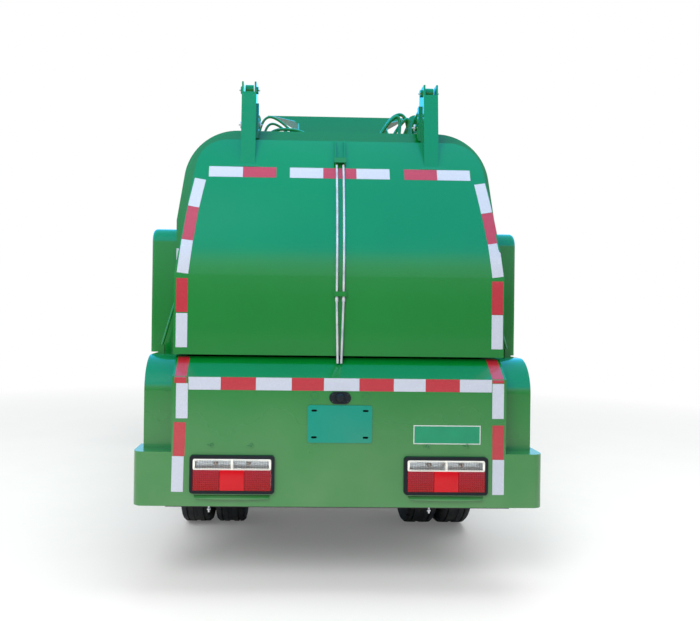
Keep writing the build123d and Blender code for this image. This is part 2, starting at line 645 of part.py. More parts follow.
# Door cylinders: barrel on the roof bracket, rod out to the lever arm
STROKE_ROOM = 245
for name, side in SIDES:
    y = side * ARM_HALF
    reach = Vector(EYE_X - ANCHOR_X, 0, EYE_Z - ANCHOR_Z)
    along = reach.normalized()
    anchor = Vector(ANCHOR_X, y, ANCHOR_Z)
    eye = anchor + reach
    with BuildPart() as barrel:
        bar(BARREL_RADIUS, anchor + along * 40, anchor + along * BARREL_LENGTH)
        bar(16, anchor, anchor + along * 42)
        bar(24, anchor - Vector(0, 17, 0), anchor + Vector(0, 17, 0))
        bar(BARREL_RADIUS + 6, anchor + along * (BARREL_LENGTH - 45), anchor + along * BARREL_LENGTH)
        bar(
            ROD_RADIUS + RUN_CLEAR,
            anchor + along * 55,
            anchor + along * (BARREL_LENGTH + 5),
            Mode.SUBTRACT,
        )
        bar(12 + RUN_CLEAR, anchor - Vector(0, 30, 0), anchor + Vector(0, 30, 0), Mode.SUBTRACT)
    barrel.part.label = f"barrel_{name}"
    export_step(barrel.part, f"parts/barrel_{name}.step")
    with BuildPart() as rod:
        bar(ROD_RADIUS, anchor + along * (60 + STROKE_ROOM), eye - along * 10)
        bar(EYE_RADIUS, eye - Vector(0, 19, 0), eye + Vector(0, 19, 0))
        bar(12, eye - Vector(0, 30, 0), eye + Vector(0, 30, 0), Mode.SUBTRACT)
    rod.part.label = f"rod_{name}"
    export_step(rod.part, f"parts/rod_{name}.step")

# Roof brackets for the door cylinders
with BuildPart() as roof_brackets:
    for name, side in SIDES:
        for ear in (ARM_HALF - 30, ARM_HALF + 20):
            ear_y = (side * ear, side * (ear + 10))
            outline = [
                (ANCHOR_X - 60, TANK_SKIN_TOP), (ANCHOR_X - 22, ANCHOR_Z + 20),
                (ANCHOR_X + 22, ANCHOR_Z + 20),
                (ANCHOR_X + 60, TANK_SKIN_TOP),
            ]
            side_cut(outline, ear_y)
        block((ANCHOR_X - 70, ANCHOR_X + 70), (side * 375, side * 459), (TANK_SKIN_TOP, TANK_SKIN_TOP + 8))
        bar(12, (ANCHOR_X, side * 380, ANCHOR_Z), (ANCHOR_X, side * 454, ANCHOR_Z))
roof_brackets.part.label = "roof_brackets"
export_step(roof_brackets.part, "parts/roof_brackets.step")

# Roof hopper: guard walls round the throat, flared at the front
GUIDE_HALF = HOPPER_HALF - 8
WALL_OUT = HOPPER_HALF + SKIN
with BuildPart() as hopper:
    front_face = [
        (HOPPER_Y - WALL_OUT, TANK_SKIN_TOP), (HOPPER_Y - WALL_OUT, HOPPER_BEND_Z),
        (HOPPER_Y - HOPPER_RIM_HALF, HOPPER_RIM_Z), (HOPPER_Y + HOPPER_RIM_HALF, HOPPER_RIM_Z),
        (HOPPER_Y + WALL_OUT, HOPPER_BEND_Z), (HOPPER_Y + WALL_OUT, TANK_SKIN_TOP),
    ]
    cross_cut(front_face, (HOPPER_FRONT_X - SKIN, HOPPER_FRONT_X))
    rim_y = (HOPPER_Y - HOPPER_RIM_HALF - 30, HOPPER_Y + HOPPER_RIM_HALF + 30)
    block((HOPPER_FRONT_X - SKIN, HOPPER_FRONT_X + 30), rim_y, (HOPPER_RIM_Z - SKIN, HOPPER_RIM_Z))
    flare_x = HOPPER_FRONT_X - HOPPER_FLARE
    for side in (-1, 1):
        wall = [
            (HOPPER_REAR_X, TANK_SKIN_TOP), (HOPPER_REAR_X, HOPPER_REAR_Z), (flare_x, HOPPER_BEND_Z),
            (HOPPER_FRONT_X, HOPPER_BEND_Z), (HOPPER_FRONT_X, TANK_SKIN_TOP),
        ]
        wall_y = HOPPER_Y + side * HOPPER_HALF
        rim_y = HOPPER_Y + side * HOPPER_RIM_HALF
        side_cut(wall, (wall_y, wall_y + side * SKIN))
        flare = [
            (wall_y, HOPPER_BEND_Z), (rim_y, HOPPER_RIM_Z), (rim_y + side * SKIN, HOPPER_RIM_Z),
            (wall_y + side * SKIN, HOPPER_BEND_Z - 2),
        ]
        cross_cut(flare, (flare_x, HOPPER_FRONT_X))
        guide_y = (HOPPER_Y + side * (GUIDE_HALF - 14), HOPPER_Y + side * HOPPER_HALF)
        guide_x = (HOPPER_REAR_X + 10, HOPPER_FRONT_X + COVER_TRAVEL)
        block((HOPPER_FRONT_X, guide_x[1]), guide_y, (TANK_SKIN_TOP, COVER_Z - 1))
        block((guide_x[0], HOPPER_FRONT_X), guide_y, (COVER_Z - 11, COVER_Z - 1))
    trim = [
        (flare_x - 1, HOPPER_BEND_Z + 12), (HOPPER_FRONT_X - SKIN, HOPPER_RIM_Z),
        (HOPPER_FRONT_X - SKIN, HOPPER_RIM_Z + 1), (flare_x - 1, HOPPER_RIM_Z + 1),
    ]
    side_cut(
        trim,
        (HOPPER_Y - HOPPER_RIM_HALF - SKIN - 1, HOPPER_Y + HOPPER_RIM_HALF + SKIN + 1),
        Mode.SUBTRACT,
    )
    rear_y = (HOPPER_Y - WALL_OUT, HOPPER_Y + WALL_OUT)
    block((HOPPER_REAR_X, HOPPER_REAR_X + SKIN), rear_y, (TANK_SKIN_TOP, HOPPER_REAR_Z))
    slot_y = (HOPPER_Y - HOPPER_HALF, HOPPER_Y + HOPPER_HALF)
    slot_x = (HOPPER_FRONT_X - SKIN - 1, HOPPER_FRONT_X + 1)
    block(slot_x, slot_y, (COVER_Z - 1, COVER_Z + COVER_THICK + 9), Mode.SUBTRACT)
hopper.part.label = "hopper"
export_step(hopper.part, "parts/hopper.step")

with BuildPart() as hopper_cover:
    cover_x = (HOPPER_REAR_X + SKIN + 8, HOPPER_FRONT_X + 20)
    cover_y = (HOPPER_Y - HOPPER_HALF + 6, HOPPER_Y + HOPPER_HALF - 6)
    block(cover_x, cover_y, (COVER_Z - SEAT_GAP, COVER_Z + COVER_THICK))
    handle_y = (HOPPER_Y - HOPPER_HALF / 2, HOPPER_Y + HOPPER_HALF / 2)
    block((cover_x[1] - 6, cover_x[1]), handle_y, (COVER_Z, COVER_Z + 40))
hopper_cover.part.label = "hopper_cover"
export_step(hopper_cover.part, "parts/hopper_cover.step")

# Side lifter: roof-edge brackets with the rotary drive, and the swing arms with their comb
PIVOT_RADIUS = 16
PIVOT_LENGTH = 14
DRIVE_RADIUS = 54
DRIVE_LENGTH = 138
with BuildPart() as lifter_mount:
    for bracket_x in BRACKET_X:
        bracket = [
            (SWING_Y + 80, SWING_Z - 120), (SWING_Y + 30, SWING_Z + 35), (SWING_Y - 32, SWING_Z + 35),
            (SWING_Y - 42, SWING_Z - 220),
        ]
        cross_cut(bracket, (bracket_x, bracket_x + BRACKET_THICK))
    body_section(TANK_INSET, (BRACKET_X[0] - 50, BRACKET_X[1] + 200), TANK_FLOOR, Mode.SUBTRACT)
    drive_x = BRACKET_X[1] + BRACKET_THICK
    bar(DRIVE_RADIUS, (drive_x, SWING_Y, SWING_Z), (drive_x + DRIVE_LENGTH, SWING_Y, SWING_Z))
    for bracket_x in BRACKET_X:
        pivot_x = (bracket_x - PIVOT_LENGTH, bracket_x + BRACKET_THICK + PIVOT_LENGTH)
        bar(PIVOT_RADIUS, (pivot_x[0], SWING_Y, SWING_Z), (pivot_x[1], SWING_Y, SWING_Z))
lifter_mount.part.label = "lifter_mount"
export_step(lifter_mount.part, "parts/lifter_mount.step")

ARM_THICK = 30
COMB_Y = SWING_Y - 160
COMB_LOW = SWING_Z - 810
COMB_TEETH = 8
TOOTH_WIDTH = 12
TUBE_X = (BRACKET_X[0] + BRACKET_THICK + 5, BRACKET_X[1] - 5)
COMB_X = (TUBE_X[0] + 52, TUBE_X[1] - 46)
TOOTH_PITCH = (COMB_X[1] - COMB_X[0] - TOOTH_WIDTH) / (COMB_TEETH - 1)
with BuildPart() as bin_arms:
    bar(SWING_TUBE, (TUBE_X[0], SWING_Y, SWING_Z), (TUBE_X[1], SWING_Y, SWING_Z))
    swing_arm = [
        (SWING_Y + 35, SWING_Z), (SWING_Y + 22, SWING_Z + 32), (SWING_Y - 25, SWING_Z + 36),
        (SWING_Y - 118, SWING_Z - 30), (SWING_Y - 118, COMB_LOW), (SWING_Y - 78, COMB_LOW),
        (SWING_Y - 78, SWING_Z - 50), (SWING_Y - 10, SWING_Z - 32),
    ]
    for arm_x in (COMB_X[0] + 15, COMB_X[1] - 15 - ARM_THICK):
        cross_cut(swing_arm, (arm_x, arm_x + ARM_THICK))
    block(COMB_X, (COMB_Y, SWING_Y - 78), (COMB_LOW, COMB_LOW + 60))
    for tooth in range(COMB_TEETH):
        tooth_x = COMB_X[0] + tooth * TOOTH_PITCH
        block((tooth_x, tooth_x + TOOTH_WIDTH), (COMB_Y, COMB_Y + 38), (COMB_LOW + 60, COMB_LOW + 102))
    hole_length = PIVOT_LENGTH + 8
    for end_x in (TUBE_X[0] - 1, TUBE_X[1] + 1 - hole_length):
        hole = ((end_x, SWING_Y, SWING_Z), (end_x + hole_length, SWING_Y, SWING_Z))
        bar(PIVOT_RADIUS + RUN_CLEAR, *hole, Mode.SUBTRACT)
bin_arms.part.label = "bin_arms"
export_step(bin_arms.part, "parts/bin_arms.step")


def side_cover(span, side):
    """A folded cover standing on the fender, open towards the tank."""
    y_in = side * (TANK_HALF + 2)
    y_out = side * BOX_HALF
    with BuildPart() as cover:
        block(span, (y_in, y_out), (FENDER_TOP, BOX_TOP))
        fillet(cover.edges().filter_by(Axis.Y).group_by(Axis.Z)[-1].sort_by(Axis.X)[0], BOX_TOP_ROUND)
        outer_edges = cover.edges().filter_by(Axis.Z).filter_by(
            lambda edge: abs(edge.center().Y) > BOX_HALF - 1,
        )
        fillet(outer_edges, BOX_EDGE_ROUND)
        hollow_x = (span[0] + SKIN, span[1] - SKIN)
        hollow_y = (y_in - side, y_out - side * SKIN)
        block(hollow_x, hollow_y, (FENDER_TOP + SKIN, BOX_TOP - BOX_TOP_ROUND), Mode.SUBTRACT)
    return cover.part


# Side boxes: a locker on each rear fender
for name, side, length in BOX_LENGTHS:
    with BuildPart() as locker:
        add(side_cover((BOX_REAR_X, BOX_REAR_X + length), side))
    locker.part.label = f"locker_{name}"
    export_step(locker.part, f"parts/locker_{name}.step")

# Rear apron with its ledge and the bumper, which wraps round both rear corners
APRON_SKIN = 8
LEDGE_TOP_X = TAIL_X + LEDGE_DEPTH
PANEL_Z = 734
PANEL_WIDTH = 276
PANEL_HEIGHT = 160
PANEL_SKIN = 5
WRAP_X = TAIL_X + 190
LAMP_Y = 456
LAMP_Z = 517
LAMP_WIDTH = 360
LAMP_HEIGHT = 162
with BuildPart() as rear_apron:
    ledge = [
        (TAIL_X, BUMPER_LOW), (TAIL_X, APRON_TOP), (LEDGE_TOP_X, SILL_TOP - 2), (RING_X, SILL_TOP - 2),
        (RING_X, SILL_TOP - 2 - APRON_SKIN), (LEDGE_TOP_X + 4, SILL_TOP - 2 - APRON_SKIN),
        (TAIL_X + APRON_SKIN, APRON_TOP - 4), (TAIL_X + APRON_SKIN, BUMPER_LOW),
    ]
    side_cut(ledge, (-APRON_HALF, APRON_HALF))
    for name, side in SIDES:
        end_plate = [
            (TAIL_X, BUMPER_LOW + 60), (TAIL_X, APRON_TOP), (LEDGE_TOP_X, SILL_TOP - 2),
            (LEDGE_TOP_X + 40, SILL_TOP - 2),
            (LEDGE_TOP_X + 40, BUMPER_LOW + 60),
        ]
        side_cut(end_plate, (side * APRON_HALF, side * (APRON_HALF - SKIN)))
    wall = APRON_SKIN
    with BuildSketch(Plane.XY.offset(BUMPER_LOW)) as wrap:
        with BuildLine():
            FilletPolyline(
                (WRAP_X, BUMPER_HALF), (TAIL_X, BUMPER_HALF), (TAIL_X, -BUMPER_HALF), (WRAP_X, -BUMPER_HALF),
                radius=45,
            )
            FilletPolyline(
                (WRAP_X, BUMPER_HALF - wall), (TAIL_X + wall, BUMPER_HALF - wall),
                (TAIL_X + wall, wall - BUMPER_HALF), (WRAP_X, wall - BUMPER_HALF),
                radius=45 - wall,
            )
            Line((WRAP_X, BUMPER_HALF), (WRAP_X, BUMPER_HALF - wall))
            Line((WRAP_X, -BUMPER_HALF), (WRAP_X, wall - BUMPER_HALF))
        make_face()
    extrude(wrap.sketch, amount=BUMPER_TOP - BUMPER_LOW)
    for name, side in SIDES:
        with BuildSketch(Plane.XY.offset(BUMPER_TOP - APRON_SKIN)) as lid:
            with BuildLine():
                Polyline(
                    (WRAP_X, side * APRON_HALF), (WRAP_X, side * BUMPER_HALF),
                    (TAIL_X + 45, side * BUMPER_HALF),
                )
                ThreePointArc(
                    (TAIL_X + 45, side * BUMPER_HALF),
                    (TAIL_X + 45 * (1 - math.sqrt(0.5)), side * (BUMPER_HALF - 45 * (1 - math.sqrt(0.5)))),
                    (TAIL_X, side * (BUMPER_HALF - 45)),
                )
                Polyline(
                    (TAIL_X, side * (BUMPER_HALF - 45)), (TAIL_X, side * APRON_HALF),
                    (WRAP_X, side * APRON_HALF),
                )
            make_face()
        extrude(lid.sketch, amount=APRON_SKIN)
        lamp_y = (side * LAMP_Y - LAMP_WIDTH / 2 + 12, side * LAMP_Y + LAMP_WIDTH / 2 - 12)
        lamp_z = (LAMP_Z - LAMP_HEIGHT / 2 + 10, LAMP_Z + LAMP_HEIGHT / 2 - 10)
        block((TAIL_X - 1, TAIL_X + APRON_SKIN + 1), lamp_y, lamp_z, Mode.SUBTRACT)
        block((TAIL_X + 40, RAIL_REAR_X), (side * (RAIL_HALF - 30), side * (RAIL_HALF - 20)), (594, 650))
        block(
            (TAIL_X + APRON_SKIN, TAIL_X + 48),
            (side * (RAIL_HALF - 60), side * (RAIL_HALF - 20)),
            (594, 650),
        )
    panel_z = (PANEL_Z - PANEL_HEIGHT / 2 + 12, PANEL_Z + PANEL_HEIGHT / 2 - 12)
    block(
        (TAIL_X - 1, TAIL_X + APRON_SKIN + 1),
        (12 - PANEL_WIDTH / 2, PANEL_WIDTH / 2 - 12),
        panel_z,
        Mode.SUBTRACT,
    )
rear_apron.part.label = "rear_apron"
export_step(rear_apron.part, "parts/rear_apron.step")

# Licence plate panel with four slots, standing on the apron
SLOT_SPACING_Y = 220
SLOT_SPACING_Z = 114
SLOT_WIDTH = 9
SLOT_LENGTH = 24
with BuildPart() as plate_panel:
    block(
        (TAIL_X - PANEL_SKIN, TAIL_X),
        (-PANEL_WIDTH / 2, PANEL_WIDTH / 2),
        (PANEL_Z - PANEL_HEIGHT / 2, PANEL_Z + PANEL_HEIGHT / 2),
    )
    fillet(plate_panel.edges().filter_by(Axis.X), 12)
    with BuildSketch(Plane.YZ.offset(TAIL_X - 2 * PANEL_SKIN)) as slots:
        with Locations((0, PANEL_Z)):
            with GridLocations(SLOT_SPACING_Y, SLOT_SPACING_Z, 2, 2):
                SlotOverall(SLOT_LENGTH, SLOT_WIDTH)
    extrude(slots.sketch, amount=3 * PANEL_SKIN, mode=Mode.SUBTRACT)
plate_panel.part.label = "plate_panel"
export_step(plate_panel.part, "parts/plate_panel.step")

# Rear camera: an oval plate with a small dome
CAMERA_Z = 846
with BuildPart() as rear_camera:
    with BuildSketch(Plane.YZ.offset(TAIL_X - 6)) as oval:
        with Locations((0, CAMERA_Z)):
            SlotOverall(92, 52)
    extrude(oval.sketch, amount=6)
    bar(19, (TAIL_X - 22, 0, CAMERA_Z), (TAIL_X - 5, 0, CAMERA_Z))
    fillet(rear_camera.edges().filter_by(GeomType.CIRCLE).sort_by(Axis.X)[0], 8)
rear_camera.part.label = "rear_camera"
export_step(rear_camera.part, "parts/rear_camera.step")

# Tail lamps: a black frame round each lens
with BuildPart() as lamp_frames:
    for name, side in SIDES:
        with BuildSketch(Plane.YZ.offset(TAIL_X - 14)) as frame:
            with Locations((side * LAMP_Y, LAMP_Z)):
                RectangleRounded(LAMP_WIDTH, LAMP_HEIGHT, 14)
                RectangleRounded(LAMP_WIDTH - 28, LAMP_HEIGHT - 28, 8, mode=Mode.SUBTRACT)
        extrude(frame.sketch, amount=14)
lamp_frames.part.label = "lamp_frames"
export_step(lamp_frames.part, "parts/lamp_frames.step")
with BuildPart() as lamp_lenses:
    for name, side in SIDES:
        with BuildSketch(Plane.YZ.offset(TAIL_X - 20)) as lens:
            with Locations((side * LAMP_Y, LAMP_Z)):
                RectangleRounded(LAMP_WIDTH - 29, LAMP_HEIGHT - 29, 8)
        extrude(lens.sketch, amount=48)
lamp_lenses.part.label = "lamp_lenses"
export_step(lamp_lenses.part, "parts/lamp_lenses.step")

# Underrun bar behind the bumper
with BuildPart() as underrun_bar:
    block((TAIL_X + 40, TAIL_X + 100), (-745, 745), (364, 424))
    fillet(underrun_bar.edges().filter_by(Axis.Y), 10)
    for name, side in SIDES:
        block((TAIL_X + 100, RAIL_REAR_X + 60), (side * 300, side * 340), (392, RAIL_LOW))
        block((TAIL_X + 90, TAIL_X + 110), (side * 300, side * 340), (380, 424))
underrun_bar.part.label = "underrun_bar"
export_step(underrun_bar.part, "parts/underrun_bar.step")

# Fenders: box covers over the rear wheels, with a thin brace up to the ring
ARCH_RADIUS = 410
BRACE_TOP = 1262
for name, side in SIDES:
    with BuildPart() as fender:
        y_out = side * FENDER_HALF
        y_in = side * APRON_HALF
        low = BUMPER_TOP
        centre_x = FENDER_REAR_X + FENDER_ROUND
        centre_z = FENDER_TOP - FENDER_ROUND
        for inset, mode in ((0, Mode.ADD), (SKIN, Mode.SUBTRACT)):
            reach = FENDER_ROUND - inset
            with BuildSketch(Plane.XZ.offset(-max(y_out, y_in))) as profile:
                with BuildLine():
                    Polyline(
                        (FENDER_FRONT_X - inset, low - inset), (FENDER_REAR_X + inset, low - inset),
                        (FENDER_REAR_X + inset, centre_z),
                    )
                    ThreePointArc(
                        (FENDER_REAR_X + inset, centre_z),
                        (centre_x - reach * math.sqrt(0.5), centre_z + reach * math.sqrt(0.5)),
                        (centre_x, FENDER_TOP - inset),
                    )
                    Polyline(
                        (centre_x, FENDER_TOP - inset), (FENDER_FRONT_X - inset, FENDER_TOP - inset),
                        (FENDER_FRONT_X - inset, low - inset),
                    )
                make_face()
            if inset:
                cavity = extrude(profile.sketch, amount=FENDER_HALF - APRON_HALF, mode=Mode.PRIVATE)
                add(cavity.moved(Location((0, -side * SKIN, 0))), mode=Mode.SUBTRACT)
            else:
                extrude(profile.sketch, amount=FENDER_HALF - APRON_HALF)
        bar(
            ARCH_RADIUS,
            (REAR_AXLE_X, y_in - side, TYRE_RADIUS),
            (REAR_AXLE_X, y_out + side, TYRE_RADIUS),
            Mode.SUBTRACT,
        )
        beside = (y_in - side, side * (TANK_HALF + 2))
        block((RING_X - 1, FENDER_FRONT_X + 1), beside, (BUMPER_TOP - 1, FENDER_TOP + 1), Mode.SUBTRACT)
        foot_x = RING_X - 14
        block((foot_x - 16, foot_x + 16), (side * 806, side * 834), (FENDER_TOP, FENDER_TOP + 40))
        brace_y = side * (TANK_HALF - 3)
        bar(6, (foot_x, side * 820, FENDER_TOP + 30), (foot_x, brace_y, BRACE_TOP))
        pad_y = (side * (TANK_HALF - 10), side * TANK_HALF)
        block((foot_x - 8, RING_X), pad_y, (BRACE_TOP - 12, BRACE_TOP + 20))
    fender.part.label = f"fender_{name}"
    export_step(fender.part, f"parts/fender_{name}.step")

# Cab: a hollow shell with its doors and windows cut, open wheel arches and a raked screen
CAB_NOSE_X = NOSE_X - 10
CAB_SILL = 700
ARCH_TOP = 745
CAB_LOW = 560
ROOF_EDGE = 70
NOSE_ROUND = 150
SCREEN_LOW = (CAB_NOSE_X - 40, 1280)
SCREEN_HIGH = (CAB_NOSE_X - 290, CAB_ROOF - 40)
DOOR_FRONT_X = CAB_NOSE_X - 260
DOOR_BACK_X = DOOR_FRONT_X - 1050
DOOR_RAKE = 85
DOOR_LOW = 800
DOOR_HIGH = 1985
DOOR_SHUT = [
    (DOOR_BACK_X, DOOR_LOW), (DOOR_BACK_X, DOOR_HIGH), (DOOR_FRONT_X - DOOR_RAKE, DOOR_HIGH),
    (DOOR_FRONT_X, BELT_Z),
    (DOOR_FRONT_X, DOOR_LOW),
]
DOOR_EDGE = [
    (DOOR_BACK_X + JOINT_GAP, DOOR_LOW + JOINT_GAP), (DOOR_BACK_X + JOINT_GAP, DOOR_HIGH - JOINT_GAP),
    (DOOR_FRONT_X - DOOR_RAKE - JOINT_GAP, DOOR_HIGH - JOINT_GAP), (DOOR_FRONT_X - JOINT_GAP, BELT_Z - 1),
    (DOOR_FRONT_X - JOINT_GAP, DOOR_LOW + JOINT_GAP),
]
DOOR_WINDOW = [
    (DOOR_BACK_X + 62, BELT_Z + 30), (DOOR_BACK_X + 62, DOOR_HIGH - 62),
    (DOOR_FRONT_X - 140, DOOR_HIGH - 62),
    (DOOR_FRONT_X - 62, BELT_Z + 30),
]


def cab_form(inset, floor, screen_inset=0):
    """The cab's outer form, or its hollow drawn in by the wall."""
    rear = CAB_REAR_X + inset
    roof = CAB_ROOF - inset
    nose = CAB_NOSE_X - inset
    shift = screen_inset
    outline = [
        (rear, floor), (rear, roof - ROOF_EDGE), (rear + ROOF_EDGE * 0.7, roof),
        (SCREEN_HIGH[0] - 80 - shift * 0.6, roof), (SCREEN_HIGH[0] - shift, SCREEN_HIGH[1] - inset * 0.5),
        (SCREEN_LOW[0] - shift, SCREEN_LOW[1]), (nose, SCREEN_LOW[1] - 90), (nose, floor),
    ]
    with BuildPart() as form:
        with BuildSketch(Plane.XY.offset(CAB_LOW - 200)) as plan:
            with BuildLine():
                Polyline((rear, -CAB_HALF + inset), (nose, -CAB_HALF + inset), (nose, CAB_HALF - inset),
                         (rear, CAB_HALF - inset), close=True)
            make_face()
            fillet(plan.vertices().sort_by(Axis.X)[-2:], NOSE_ROUND - inset)
            fillet(plan.vertices().sort_by(Axis.X)[:2], 60 - inset)
        extrude(plan.sketch, amount=CAB_ROOF)
        side_cut(outline, (-CAB_HALF, CAB_HALF), Mode.INTERSECT)
    return form.part


def screen_slab(low, high, outer, inner):
    """A slab along the raked screen, between two fractions of its height and two depths."""
    run = Vector(SCREEN_HIGH[0] - SCREEN_LOW[0], SCREEN_HIGH[1] - SCREEN_LOW[1])
    into = Vector(-run.Y, run.X).normalized()
    start = Vector(*SCREEN_LOW)
    corners = [start + run * low + into * outer, start + run * high + into * outer,
               start + run * high + into * inner, start + run * low + into * inner]
    return [(corner.X, corner.Y) for corner in corners]


SCREEN_HALF = 690
CAB_HINGE_X = DOOR_FRONT_X - 10
CAB_HINGE_Y = CAB_HALF + 12
CAB_HINGE_Z = (940, 1230)
cab_outer = cab_form(0, CAB_LOW)
cab_inner = cab_form(CAB_WALL, ARCH_TOP + 35, CAB_WALL * 1.05)
with BuildPart() as cab_shell:
    add(cab_outer)
    add(cab_inner, mode=Mode.SUBTRACT)
    arch = [
        (CAB_REAR_X - 1, CAB_LOW - 1), (CAB_REAR_X - 1, CAB_SILL), (FRONT_AXLE_X - 420, CAB_SILL),
        (FRONT_AXLE_X - 340, ARCH_TOP), (FRONT_AXLE_X + 340, ARCH_TOP), (FRONT_AXLE_X + 425, CAB_SILL),
        (FRONT_AXLE_X + 440, CAB_LOW - 1),
    ]
    side_cut(arch, (-CAB_HALF - 1, CAB_HALF + 1), Mode.SUBTRACT)
    under_y = (CAB_WALL - CAB_HALF, CAB_HALF - CAB_WALL)
    block((FRONT_AXLE_X + 480, CAB_NOSE_X - CAB_WALL), under_y, (CAB_LOW - 1, ARCH_TOP - 5), Mode.SUBTRACT)
    notch = SPRING_HALF + SPRING_WIDTH / 2 + 25
    block((FRONT_AXLE_X + 420, FRONT_AXLE_X + 481), (-notch, notch), (CAB_LOW - 1, CAB_SILL), Mode.SUBTRACT)
    side_cut(screen_slab(0.05, 0.93, -30, 90), (-SCREEN_HALF, SCREEN_HALF), Mode.SUBTRACT)
    for name, side in SIDES:
        side_cut(DOOR_SHUT, (side * (CAB_HALF + 1), side * (CAB_HALF - CAB_WALL - 1)), Mode.SUBTRACT)
        for pin_z in CAB_HINGE_Z:
            for plate_z in (pin_z - 30, pin_z + 20):
                plate_y = (side * (CAB_HALF + 6), side * (CAB_HINGE_Y + 6))
                foot_y = (side * CAB_HALF, side * (CAB_HINGE_Y + 6))
                block((CAB_HINGE_X - 7, DOOR_FRONT_X + 25), plate_y, (plate_z, plate_z + 10))
                block((DOOR_FRONT_X + 3, DOOR_FRONT_X + 25), foot_y, (plate_z, plate_z + 10))
            bar(
                5,
                (CAB_HINGE_X, side * CAB_HINGE_Y, pin_z - 30),
                (CAB_HINGE_X, side * CAB_HINGE_Y, pin_z + 30),
            )
cab_shell.part.label = "cab_shell"
export_step(cab_shell.part, "parts/cab_shell.step")

with BuildPart() as cab_screen:
    side_cut(screen_slab(0.05, 0.93, 12, 18), (-SCREEN_HALF, SCREEN_HALF))
cab_screen.part.label = "cab_screen"
export_step(cab_screen.part, "parts/cab_screen.step")

# Cab doors, their glass and the mirrors that they carry
MIRROR_OUT = 1000
for name, side in SIDES:
    outer = side * CAB_HALF
    with BuildPart() as door:
        side_cut(DOOR_EDGE, (outer, outer - side * CAB_WALL))
        side_cut(DOOR_WINDOW, (outer + side, outer - side * (CAB_WALL + 1)), Mode.SUBTRACT)
        pocket = [
            (DOOR_BACK_X + 50, DOOR_LOW + 60), (DOOR_BACK_X + 50, BELT_Z - 60),
            (DOOR_FRONT_X - 70, BELT_Z - 60),
            (DOOR_FRONT_X - 70, DOOR_LOW + 60),
        ]
        side_cut(pocket, (outer - side * 30, outer - side * (CAB_WALL + 1)), Mode.SUBTRACT)
        for pin_z in CAB_HINGE_Z:
            leaf_z = (pin_z - 19.7, pin_z + 19.7)
            block((CAB_HINGE_X - 50, CAB_HINGE_X - 4), (outer, outer + side * 8), leaf_z)
            centre = (CAB_HINGE_X, side * CAB_HINGE_Y)
            bar(9, (*centre, leaf_z[0]), (*centre, leaf_z[1]))
            bar(5 + RUN_CLEAR, (*centre, leaf_z[0] - 1), (*centre, leaf_z[1] + 1), Mode.SUBTRACT)
    door.part.label = f"door_{name}"
    export_step(door.part, f"parts/door_{name}.step")
    with BuildPart() as glass:
        side_cut(DOOR_WINDOW, (outer - side * 18, outer - side * 23))
    glass.part.label = f"door_glass_{name}"
    export_step(glass.part, f"parts/door_glass_{name}.step")
    with BuildPart() as mirror:
        head_x = (DOOR_FRONT_X - 95, DOOR_FRONT_X - 40)
        block(head_x, (side * 885, side * MIRROR_OUT), (1470, 1790))
        fillet(mirror.edges().filter_by(Axis.Z), 20)
        pads = ((DOOR_FRONT_X - 50, BELT_Z + 100, 1500), (DOOR_FRONT_X - 88, DOOR_HIGH - 155, 1760))
        for pad_x, pad_z, tip_z in pads:
            block((pad_x - 14, pad_x + 14), (outer, outer + side * 8), (pad_z - 20, pad_z + 20))
            bar(9, (pad_x, outer + side * 8, pad_z), (DOOR_FRONT_X - 68, side * 920, tip_z))
    mirror.part.label = f"mirror_{name}"
    export_step(mirror.part, f"parts/mirror_{name}.step")

# Cab mounts on the rails
with BuildPart() as cab_mounts:
    for name, side in SIDES:
        mount_y = (side * 290, side * 345)
        block((CAB_REAR_X + 60, CAB_REAR_X + 150), mount_y, (RAIL_TOP, CAB_SILL))
        block((DOOR_FRONT_X - 120, DOOR_FRONT_X - 20), mount_y, (RAIL_TOP, ARCH_TOP - 5))
cab_mounts.part.label = "cab_mounts"
export_step(cab_mounts.part, "parts/cab_mounts.step")

# Front bumper, wrapped round the cab's foot, with the towing eye under it
FRONT_X = NOSE_X + 22
FRONT_HALF = 850
FRONT_WRAP_X = NOSE_X - 150
TOW_EYE_X = NOSE_X - 20
TOW_EYE_Z = 384
with BuildPart() as front_bumper:
    wall = APRON_SKIN
    with BuildSketch(Plane.XY.offset(410)) as wrap:
        with BuildLine():
            FilletPolyline(
                (FRONT_WRAP_X, FRONT_HALF), (FRONT_X, FRONT_HALF), (FRONT_X, -FRONT_HALF),
                (FRONT_WRAP_X, -FRONT_HALF),
                radius=NOSE_ROUND,
            )
            FilletPolyline(
                (FRONT_WRAP_X, FRONT_HALF - wall), (FRONT_X - wall, FRONT_HALF - wall),
                (FRONT_X - wall, wall - FRONT_HALF), (FRONT_WRAP_X, wall - FRONT_HALF),
                radius=NOSE_ROUND - wall,
            )
            Line((FRONT_WRAP_X, FRONT_HALF), (FRONT_WRAP_X, FRONT_HALF - wall))
            Line((FRONT_WRAP_X, -FRONT_HALF), (FRONT_WRAP_X, wall - FRONT_HALF))
        make_face()
    extrude(wrap.sketch, amount=225)
    block((FRONT_X - 9, FRONT_X + 1), (-300, 300), (470, 560), Mode.SUBTRACT)
    for name, side in SIDES:
        block((RAIL_FRONT_X, FRONT_X - wall), (side * 322, side * 344), (526, 554))
        block((FRONT_X - 2 * wall, FRONT_X - wall), (side * 310, side * 350), (430, 554))
    eye_outline = [
        (TOW_EYE_X - 100, 530), (TOW_EYE_X - 100, 480), (TOW_EYE_X - 30, TOW_EYE_Z - 32),
        (TOW_EYE_X + 32, TOW_EYE_Z - 32), (TOW_EYE_X + 32, TOW_EYE_Z + 46), (TOW_EYE_X + 10, 530),
    ]
    side_cut(eye_outline, (322, 338))
    bar(16, (TOW_EYE_X, 300, TOW_EYE_Z), (TOW_EYE_X, 360, TOW_EYE_Z), Mode.SUBTRACT)
front_bumper.part.label = "front_bumper"
